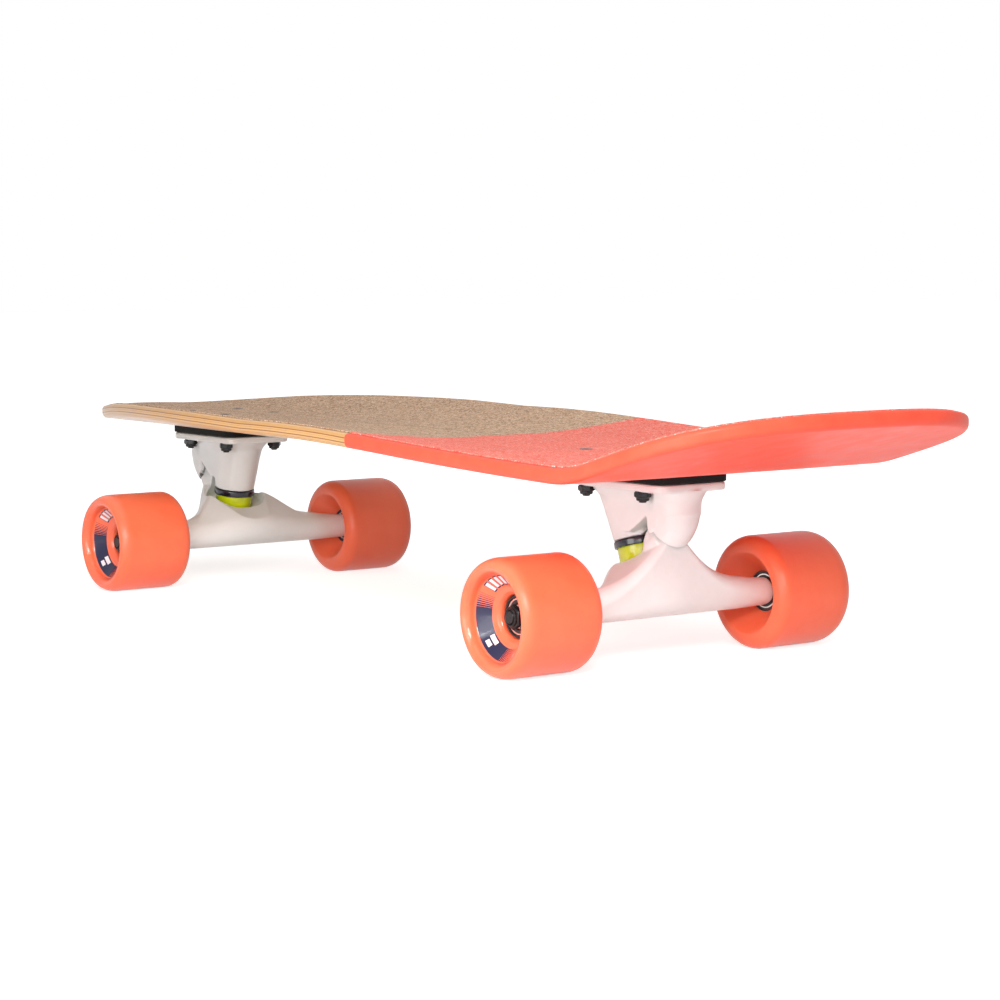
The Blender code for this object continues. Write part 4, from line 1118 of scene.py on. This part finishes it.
def bolt_mesh():
    """A countersunk bolt with a socket in its head, and the lock nut on its other end."""
    rings = [hexagon(SOCKET, GRIP_TOP - SOCKET_DEPTH, 1), hexagon(SOCKET, GRIP_TOP - 0.0001, 1)]
    rings += [hexagon(SOCKET + 0.0003, GRIP_TOP + 0.00005, 1)]
    rings += [circle(BOLT_HEAD - 0.0004, GRIP_TOP), circle(BOLT_HEAD, GRIP_TOP - 0.0003)]
    rings += [circle(BOLT_SHANK, GRIP_TOP - HEAD_HEIGHT), circle(BOLT_SHANK, PLATE_BOTTOM)]
    tip = thread(BOLT_SHANK, -0.0004, 0.0064, 0.0008, 0.0002)
    tip.append(circle(BOLT_SHANK * 0.7, 0.0067, 48))
    below = Matrix.Translation((0, 0, PLATE_BOTTOM)) @ Matrix.Rotation(pi, 4, "X")
    shape = bmesh.new()
    shape.from_mesh(skin("bolt", rings))
    for mesh in (lock_nut("nut", *BOLT_NUT), skin("tip", tip)):
        shape.from_mesh(moved(mesh, below))
    return to_mesh("truck bolt", shape)


truck_bolt = coated(bolt_mesh(), black)
for number, (name, place) in enumerate(bolt_places.items()):
    turn = Matrix.Translation((place.x, place.y, 0)) @ Matrix.Rotation(0.4 * number, 4, "Z")
    add_piece(name.replace("mounting_bolt", "truck_bolt"), truck_bolt, name, turn)
count_faces("each truck bolt", truck_bolt)

# %% Kingpins and their nuts
HEAD_WIDTH, HEAD_CORNER, KINGPIN_RADIUS = 0.0127, 0.0074, 0.0047
KINGPIN_NUT = (HEAD_WIDTH, 0.0049, 0, 0.0060, 0.0018)
for truck in trucks:
    place = truck.frame @ truck.kingpin
    top, under = truck.head_end, truck.head_end - 0.0048
    rings = [hexagon(HEAD_WIDTH, top, 0.0061), hexagon(HEAD_WIDTH, top - CHAMFER, HEAD_CORNER)]
    rings += [hexagon(HEAD_WIDTH, under, HEAD_CORNER), circle(KINGPIN_RADIUS, under)]
    rings += [circle(KINGPIN_RADIUS, -0.0240)]
    rings += thread(KINGPIN_RADIUS, -0.0242, -0.0398, 0.0011, 0.0004, 96)
    rings += [circle(0.0040, -0.0402)]
    kingpin = coated(skin("kingpin", rings), black)
    add_piece(f"kingpin_bolt_{truck.name}", kingpin, f"kingpin_{truck.name}", place)
    nut = moved(lock_nut("kingpin nut", *KINGPIN_NUT), Matrix.Rotation(pi, 4, "X"))
    down = place @ Matrix.Translation((0, 0, -0.0311))
    nut_node = f"kingpin_nut_{truck.name}"
    add_piece(f"kingpin_lock_nut_{truck.name}", coated(nut, black), nut_node, down)
    count_faces(f"the {truck.name} kingpin", kingpin)

# %% [markdown]
# ## Bushings and washers
#
# The bushings are the truck's springs: rings of clear yellow urethane, glossy and slightly see
# through, so light goes in and comes out greener. The cup washer over them is blued steel. Both
# are turned shapes.

# %% Urethane and blued steel
yellow = Finish(
    "yellow_urethane", screen(208, 222, 12), 0.22,
    Subsurface_Weight=0.25, Subsurface_Radius=(0.7, 1.0, 0.1), Subsurface_Scale=0.003, IOR=1.5,
    Coat_Weight=0.25, Coat_Roughness=0.05,
)
cloud = yellow.noise(140, 3, 0.5)
yellow.vary("Base Color", cloud, (0.3, screen(198, 214, 6)), (0.7, screen(218, 230, 16)))
yellow.bump((yellow.noise(1.0, 2, 0.5, yellow.here((120, 120, 900))), 0.00003))
yellow.report()

blued = Finish("blued_steel", (0.006, 0.006, 0.016), 0.16, Specular_IOR_Level=0.6)
tint = blued.noise(220, 3, 0.5)
blued.vary("Base Color", tint, (0.3, (0.004, 0.004, 0.010)), (0.7, (0.009, 0.010, 0.026)))
add_turning_marks(blued, 2600, 0.00001)
blued.report()

# %% Turn the stack round each kingpin
HOLE = 0.0051
STACK = (  # (new piece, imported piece, finish, corners as radius, depth below the boss, rounding)
    ("cup_washer", "top_washer", blued, [
        (HOLE, 0.0019, 0.0002), (HOLE, 0.0003, 0.0002), (0.0150, 0.0003, 0.0012),
        (0.0150, 0.0048, 0.0005), (0.0137, 0.0048, 0.0005), (0.0137, 0.0019, 0.0006),
    ]),
    ("barrel_bushing", "top_bushing", yellow, [
        (HOLE, 0.0145, 0.0003), (HOLE, 0.0022, 0.0003), (0.0131, 0.0022, 0.0010),
        (0.0135, 0.0084, 0.0060), (0.0130, 0.0145, 0.0010),
    ]),
    ("cone_bushing", "bottom_bushing", yellow, [
        (HOLE, 0.0289, 0.0003), (HOLE, 0.0211, 0.0003), (0.0121, 0.0211, 0.0008),
        (0.0115, 0.0235, 0.0008), (0.0090, 0.0289, 0.0008),
    ]),
    ("flat_washer", "bottom_washer", blued, [
        (HOLE, 0.0308, 0.0002), (HOLE, 0.0292, 0.0002), (0.0098, 0.0292, 0.0004),
        (0.0098, 0.0308, 0.0004),
    ]),
)
for truck in trucks:
    for name, node, finish, corners in STACK:
        profile = [(radius, -down) for radius, down in eased(corners)]
        ring = coated(turned(node, profile), finish)
        place = truck.frame @ truck.kingpin
        add_piece(f"{name}_{truck.name}", ring, f"{node}_{truck.name}", place)
print(len(STACK), "rings stand on each kingpin")

# %% Pivot cups
CUP = [
    (0.0080, 0.0082, 0.0006), (0.0080, -0.0035, 0.0003), (0.0061, -0.0035, 0.0003),
    (0.0061, 0.0060, 0.0004),
]
cup_plastic = Finish("cup_urethane", (0.020, 0.020, 0.021), 0.44)
cup_plastic.bump((cup_plastic.noise(1500, 3), 0.00002))
cup_plastic.report()
for truck in trucks:
    cup = coated(turned("pivot cup", eased(CUP, closed=False), 72, tube=False), cup_plastic)
    place = truck.frame @ truck.pivot
    add_piece(f"pivot_cup_lining_{truck.name}", cup, f"pivot_cup_{truck.name}", place)

# %% [markdown]
# ## Wheels
#
# The wheels are poured urethane, 70 mm across, with a deep bowl in the outer face. Their finish is
# satin on the tread, where it was ground, and glossy in the bowl, which keeps the mould's polish.
# Urethane lets a little light in, so the material scatters light below its surface.

# %% Coral urethane
urethane = Finish(
    "coral_urethane", screen(252, 116, 80), 0.36,
    Subsurface_Weight=0.20, Subsurface_Radius=(1.0, 0.40, 0.20), Subsurface_Scale=0.004, IOR=1.45,
)
out, x, y, z = urethane.about_axis()
dye = urethane.noise(35, 4, 0.55)
coral_tone = urethane.ramp(dye, [(0.30, screen(251, 110, 74)), (0.70, screen(255, 120, 84))])
bowl_face = urethane.calc("GREATER_THAN", z, 0.004)
in_bowl = urethane.times(urethane.calc("LESS_THAN", out, 0.0300), bowl_face)
ground = urethane.noise(420, 3, 0.6)
satin = urethane.calc("MULTIPLY_ADD", ground, 0.14, 0.30)
glossy = urethane.calc("MULTIPLY_ADD", ground, 0.05, 0.12)
gloss = urethane.node("Mix", {0: in_bowl, 2: satin, 3: glossy}, data_type="FLOAT").outputs[0]
urethane.set("Roughness", gloss)
urethane.bump((ground, 0.00002))
urethane.report()

# %% [markdown]
# A print runs round the cone inside the bowl: a navy band that fades into stripes at both ends,
# with two plain labels on it, and a row of white bars across from it. The material draws it from
# each point's angle and distance about the axle, so it needs no picture and no extra faces.

# %% The print in the bowl
angle = urethane.calc("ARCTAN2", y, x)
NAVY, BAR_EDGE = screen(32, 32, 66), screen(44, 30, 62)
BAR_WHITE, LABEL_WHITE = screen(248, 232, 236), screen(240, 228, 232)
STRIPES, BARS = 17, 5.1  # how many to a radian


def ring_mask(low, high, edge=0.0001):
    """1 between two distances from the axle."""
    return urethane.between(out, low, high, edge)


def sector(middle, half, edge):
    """The angle from a direction about the axle, and 1 where it is below a limit."""
    turned_away = urethane.calc("WRAP", urethane.calc("SUBTRACT", angle, middle), pi, -pi)
    away = urethane.calc("ABSOLUTE", turned_away)
    return away, urethane.between(away, -1.0, half, edge)


outer_side = urethane.calc("GREATER_THAN", z, 0.008)
on_cone = urethane.times(ring_mask(0.0181, 0.0251, 0.00012), outer_side)
away, in_band = sector(radians(-144), radians(46), 0.008)
stripe = urethane.calc("FRACT", urethane.times(away, STRIPES))
stripe = urethane.calc("LESS_THAN", stripe, urethane.calc("MULTIPLY_ADD", away, -1.7, 2.25))
stripes = urethane.times(stripe, urethane.between(away, -1.0, radians(70), 0.005))
navy = urethane.times(on_cone, urethane.calc("MAXIMUM", in_band, stripes))
printed = urethane.mix(navy, coral_tone, NAVY)

away, in_bars = sector(radians(92), radians(46), 0.004)
bar = urethane.calc("FRACT", urethane.times(away, BARS))
for first, last, low, high, tone in (
    (0.10, 0.90, 0.0189, 0.0248, BAR_EDGE), (0.20, 0.80, 0.0196, 0.0242, BAR_WHITE),
):
    mask = urethane.times(urethane.between(bar, first, last, 0.03), ring_mask(low, high))
    printed = urethane.mix(urethane.times(in_bars, mask, on_cone), printed, tone)
for half, low, high in ((0.17, 0.0189, 0.0209), (0.10, 0.0217, 0.0236)):
    label = urethane.times(sector(radians(-134), half, 0.004)[1], ring_mask(low, high))
    printed = urethane.mix(urethane.times(label, on_cone), printed, LABEL_WHITE)
urethane.set("Base Color", printed)
urethane.report()

# %% Turn the wheels
def quarter(r, z, wide, tall, start, end, steps=14):
    """Part of an ellipse about (r, z), between two angles in quarter turns."""
    turns = [pi / 2 * (start + (end - start) * k / steps) for k in range(steps + 1)]
    return [(r + wide * cos(turn), z + tall * sin(turn), 0) for turn in turns]


RADIUS, HALF_WIDTH = 0.0350, 0.02915
CREST, CREST_HEIGHT = 0.0300, 0.0280
INNER_EDGE = 0.0079
WHEEL = quarter(CREST, 0.0185, RADIUS - CREST, CREST_HEIGHT - 0.0185, 0, 1)
WHEEL += quarter(CREST, 0.0222, 0.0043, CREST_HEIGHT - 0.0222, 1, 2)[1:]
WHEEL += [  # the cone, the hub's lip, the hub's hole and the mouth on the inner side
    (0.0252, 0.0208, 0.0008), (0.0180, 0.01385, 0.0012), (0.0146, 0.01295, 0.0008),
    (0.0128, 0.01090, 0.0010), (0.0126, -0.01440, 0.0004), (0.0238, -0.02795, 0.0020),
    (0.0253, -HALF_WIDTH, 0.0006),
]
WHEEL += quarter(RADIUS - INNER_EDGE, INNER_EDGE - HALF_WIDTH, INNER_EDGE, INNER_EDGE, -1, 0)
SIDES = (("left", -1), ("right", 1))
wheel_mesh = coated(turned("wheel", eased(WHEEL, 7), 160), urethane)
for side, way in SIDES:
    for truck in trucks:
        node = f"wheel_{truck.name}_{side}"
        low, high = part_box(node)
        middle = (low + high) / 2
        place = Matrix.Translation((middle.x, middle.y, AXLE_HEIGHT))
        place = place @ Matrix.Rotation(-way * pi / 2, 4, "X")
        add_piece(f"urethane_{node}", wheel_mesh, node, place)
count_faces("each wheel", wheel_mesh)

# %% [markdown]
# ### Inside the hub
#
# A hard black core holds two bearings. Each bearing shows a ground steel ring with a dark seal
# pressed into it, and the inner rings are clamped between a nut and the hanger.

# %% Core, seals and rings
core_plastic = Finish("core_plastic", (0.016, 0.016, 0.017), 0.34, Specular_IOR_Level=0.5)
core_plastic.bump((core_plastic.noise(900, 3), 0.00002))
seal = Finish("seal_rubber", (0.020, 0.020, 0.021), 0.42)
add_turning_marks(seal, 1500, 0.00003)
ground_steel = Finish("ground_steel", (0.56, 0.54, 0.52), 0.18, Metallic=1.0)
lines = add_turning_marks(ground_steel, 6400, 0.000008)
ground_steel.vary("Roughness", lines, (0.3, 0.12), (0.7, 0.28))
for finish in (core_plastic, seal, ground_steel):
    finish.report()


def mirrored(half):
    """A profile whose second half is the first one upside down."""
    return half + [(radius, -height, rounding) for radius, height, rounding in reversed(half)]


CORE = [
    (0.0125, -0.0119, 0.0003), (0.0125, 0.0119, 0.0005), (0.0113, 0.0119, 0.0004),
    (0.0113, 0.0040, 0), (0.0095, 0.0040, 0.0003), (0.0095, -0.0040, 0.0003),
    (0.0113, -0.0040, 0), (0.0113, -0.0119, 0.0004),
]
SEAL_RADIUS = 0.0096
RACE = mirrored([
    (0.0110, 0.0035, 0.0005), (0.0098, 0.0035, 0.0002), (SEAL_RADIUS, 0.0031, 0.0001),
    (0.0090, 0.0031, 0.0003), (0.0086, 0.0033, 0.0003), (0.0077, 0.0031, 0.0002),
])
core_mesh = coated(turned("core", eased(CORE)), core_plastic)
race_mesh = coated(turned("race", eased(RACE)), ground_steel, seal)
for face in race_mesh.polygons:
    face.material_index = 1 if face.center.xy.length < SEAL_RADIUS else 0

# %% Axles, nuts and sleeves
TIP, AXLE_RADIUS, AXLE_TIP_RADIUS, THREAD_LENGTH = 0.1117, 0.0040, 0.0034, 0.0105
AXLE_THREAD = (0.00125, 0.0004)
AXLE_NUT = (0.0128, 0.0042, 0.0125, 0.0050, 0.0016)
inner, outer = TIP - THREAD_LENGTH, TIP - 0.0004
axle_rings = [circle(AXLE_TIP_RADIUS, -TIP, 48)] + thread(AXLE_RADIUS, -outer, -inner, *AXLE_THREAD)
axle_rings += [circle(AXLE_RADIUS, side * (TIP - 0.0108), 48) for side in (-1, 1)]
axle_rings += thread(AXLE_RADIUS, inner, outer, *AXLE_THREAD) + [circle(AXLE_TIP_RADIUS, TIP, 48)]
axle_mesh = coated(skin("axle", axle_rings), steel, black)
for face in axle_mesh.polygons:
    face.material_index = 1 if abs(face.center.z) > TIP - 0.0107 else 0
SLEEVE = mirrored([
    (0.00436, -0.0122, 0.0002), (0.0058, -0.0122, 0.0002), (0.0058, -0.0113, 0.0001),
    (0.0069, -0.0113, 0.0003), (0.0069, -0.0043, 0.0002), (0.0056, -0.0043, 0),
])
sleeve_mesh = coated(turned("sleeve", eased(SLEEVE, 3), 72), steel)
nut_mesh = coated(lock_nut("axle nut", *AXLE_NUT), black)
count_faces("an axle", axle_mesh)

# %% Set the hubs' pieces down
HUB, BEARING_STEP = 0.0940, 0.0078
for truck in trucks:
    axle_x = truck.frame.translation.x
    axle_place = Matrix.Translation((axle_x, 0, AXLE_HEIGHT)) @ lie_down
    add_piece(f"axle_rod_{truck.name}", axle_mesh, f"axle_{truck.name}", axle_place)
    for side, way in SIDES:
        end = f"{truck.name}_{side}"
        hub = Matrix.Translation((axle_x, way * HUB, AXLE_HEIGHT))
        hub = hub @ Matrix.Rotation(-way * pi / 2, 4, "X")
        for name, mesh, node in (
            ("hub_core", core_mesh, "wheel_core"), ("axle_lock_nut", nut_mesh, "axle_nut"),
            ("inner_rings", sleeve_mesh, "bearing_sleeve"),
        ):
            add_piece(f"{name}_{end}", mesh, f"{node}_{end}", hub)
        for place_name, step in (("outer", BEARING_STEP), ("inner", -BEARING_STEP)):
            place = hub @ Matrix.Translation((0, 0, step))
            node = f"bearing_{end}_{place_name}"
            add_piece(f"race_{end}_{place_name}", race_mesh, node, place)
print("hubs at y =", HUB, "m to both sides")

# %% [markdown]
# ## Studio
#
# The photograph was taken against white with large soft lamps. A weak white world lights the scene
# from everywhere. A large lamp hangs over the board and a smaller one over its tail, three on the
# camera's side open the shadows on the trucks and wheels, and a tiny one adds small highlights. The
# floor is a pale sheet that keeps the board's shadow. It and the world show white to the camera and
# in reflections without adding light to the object.

# %% Floor and world
WORLD_LIGHT = 0.16
FLOOR_HALF = 9


def seen_directly(tree):
    """1 for what the camera sees, also in a mirror or through glass, and 0 for other light."""
    paths = tree.nodes.new("ShaderNodeLightPath")
    share = paths.outputs["Is Camera Ray"]
    for other in ("Is Glossy Ray", "Is Transmission Ray"):
        either = tree.nodes.new("ShaderNodeMath")
        either.operation = "MAXIMUM"
        tree.links.new(share, either.inputs[0])
        tree.links.new(paths.outputs[other], either.inputs[1])
        share = either.outputs[0]
    return share


world = bpy.data.worlds.new("studio")
bpy.context.scene.world = world
world.use_nodes = True
sky = world.node_tree
background = sky.nodes["Background"]
strength = sky.nodes.new("ShaderNodeMapRange")
strength.inputs["To Min"].default_value = WORLD_LIGHT
strength.inputs["To Max"].default_value = 1.0
sky.links.new(seen_directly(sky), strength.inputs["Value"])
sky.links.new(strength.outputs["Result"], background.inputs["Strength"])
background.inputs["Color"].default_value = (1, 1, 1, 1)

corners = [(x * FLOOR_HALF, y * FLOOR_HALF, 0) for x, y in ((-1, -1), (1, -1), (1, 1), (-1, 1))]
floor_mesh = bpy.data.meshes.new("floor")
floor_mesh.from_pydata(corners, [], [(0, 1, 2, 3)])
paper = Finish("floor_paper", (0.86, 0.86, 0.86), 0.9, Specular_IOR_Level=0.1)
paper.bump((paper.noise(260, 4, 0.6), 0.00005))
away = paper.node("VectorMath", {0: paper.here()}, operation="LENGTH").outputs["Value"]
glow = {"Value": away, "From Min": 0.35, "From Max": 1.0, "To Min": 0.72, "To Max": 1.0}
glow = paper.node("MapRange", glow).outputs["Result"]
paper.set("Emission Color", (1, 1, 1))
paper.set("Emission Strength", paper.times(seen_directly(paper.tree), glow))
floor = linked("floor", coated(floor_mesh, paper))
paper.report()

# %% Camera
CAMERA_PLACE = Vector((1.4075, -0.957, 0.240))
AZIMUTH, ELEVATION, ROLL = radians(-54.19), radians(-5.46), radians(-0.18)
SENSOR, LENS = 36, 91.368
camera_data = bpy.data.cameras.new("camera")
camera = linked("camera", camera_data)
ahead = Vector((sin(AZIMUTH) * cos(ELEVATION), cos(AZIMUTH) * cos(ELEVATION), sin(ELEVATION)))
aside = Vector((cos(AZIMUTH), -sin(AZIMUTH), 0))
upward = aside.cross(ahead)
turn = Matrix((aside, upward, -ahead)).transposed().to_4x4()
camera.matrix_world = Matrix.Translation(CAMERA_PLACE) @ turn @ Matrix.Rotation(ROLL, 4, "Z")
camera_data.sensor_width = SENSOR
camera_data.lens = LENS
camera_data.clip_start = 0.01
bpy.context.scene.camera = camera
print("the camera stands", round(CAMERA_PLACE.length, 3), "m from the origin")

# %% Lamps
def soft_lamp(name, place, target, size, power):
    """A square lamp that faces a point."""
    data = bpy.data.lights.new(name, "AREA")
    data.size = size
    data.energy = power
    lamp = linked(name, data)
    lamp.location = place
    lamp.rotation_euler = (target - place).to_track_quat("-Z", "Y").to_euler()
    print(f"{name} lamp: {power} W over {size} m")


middle = Vector((0, 0, 0.08))
near = Vector((0.2445, -0.1, 0.05))
far = Vector((-0.24, -0.1, 0.05))
soft_lamp("top", Vector((-0.1, 0, 1.6)), middle, 1.6, 5.0)
soft_lamp("tail top", Vector((0.35, -0.1, 1.1)), Vector((0.2, 0, 0.1)), 0.9, 1.5)
soft_lamp("near front", near - ahead + upward * 0.48, near, 0.4, 10)
soft_lamp("front", middle - ahead * 1.4 + upward * 0.25, middle, 0.8, 3.4)
soft_lamp("far front", far - ahead * 0.9 - aside * 0.2 + upward * 0.1, far, 0.5, 4.0)
soft_lamp("sparkle", near - aside * 0.6 - ahead * 1.1 + upward * 0.6, near, 0.06, 0.5)
bpy.context.scene.view_settings.view_transform = "Standard"
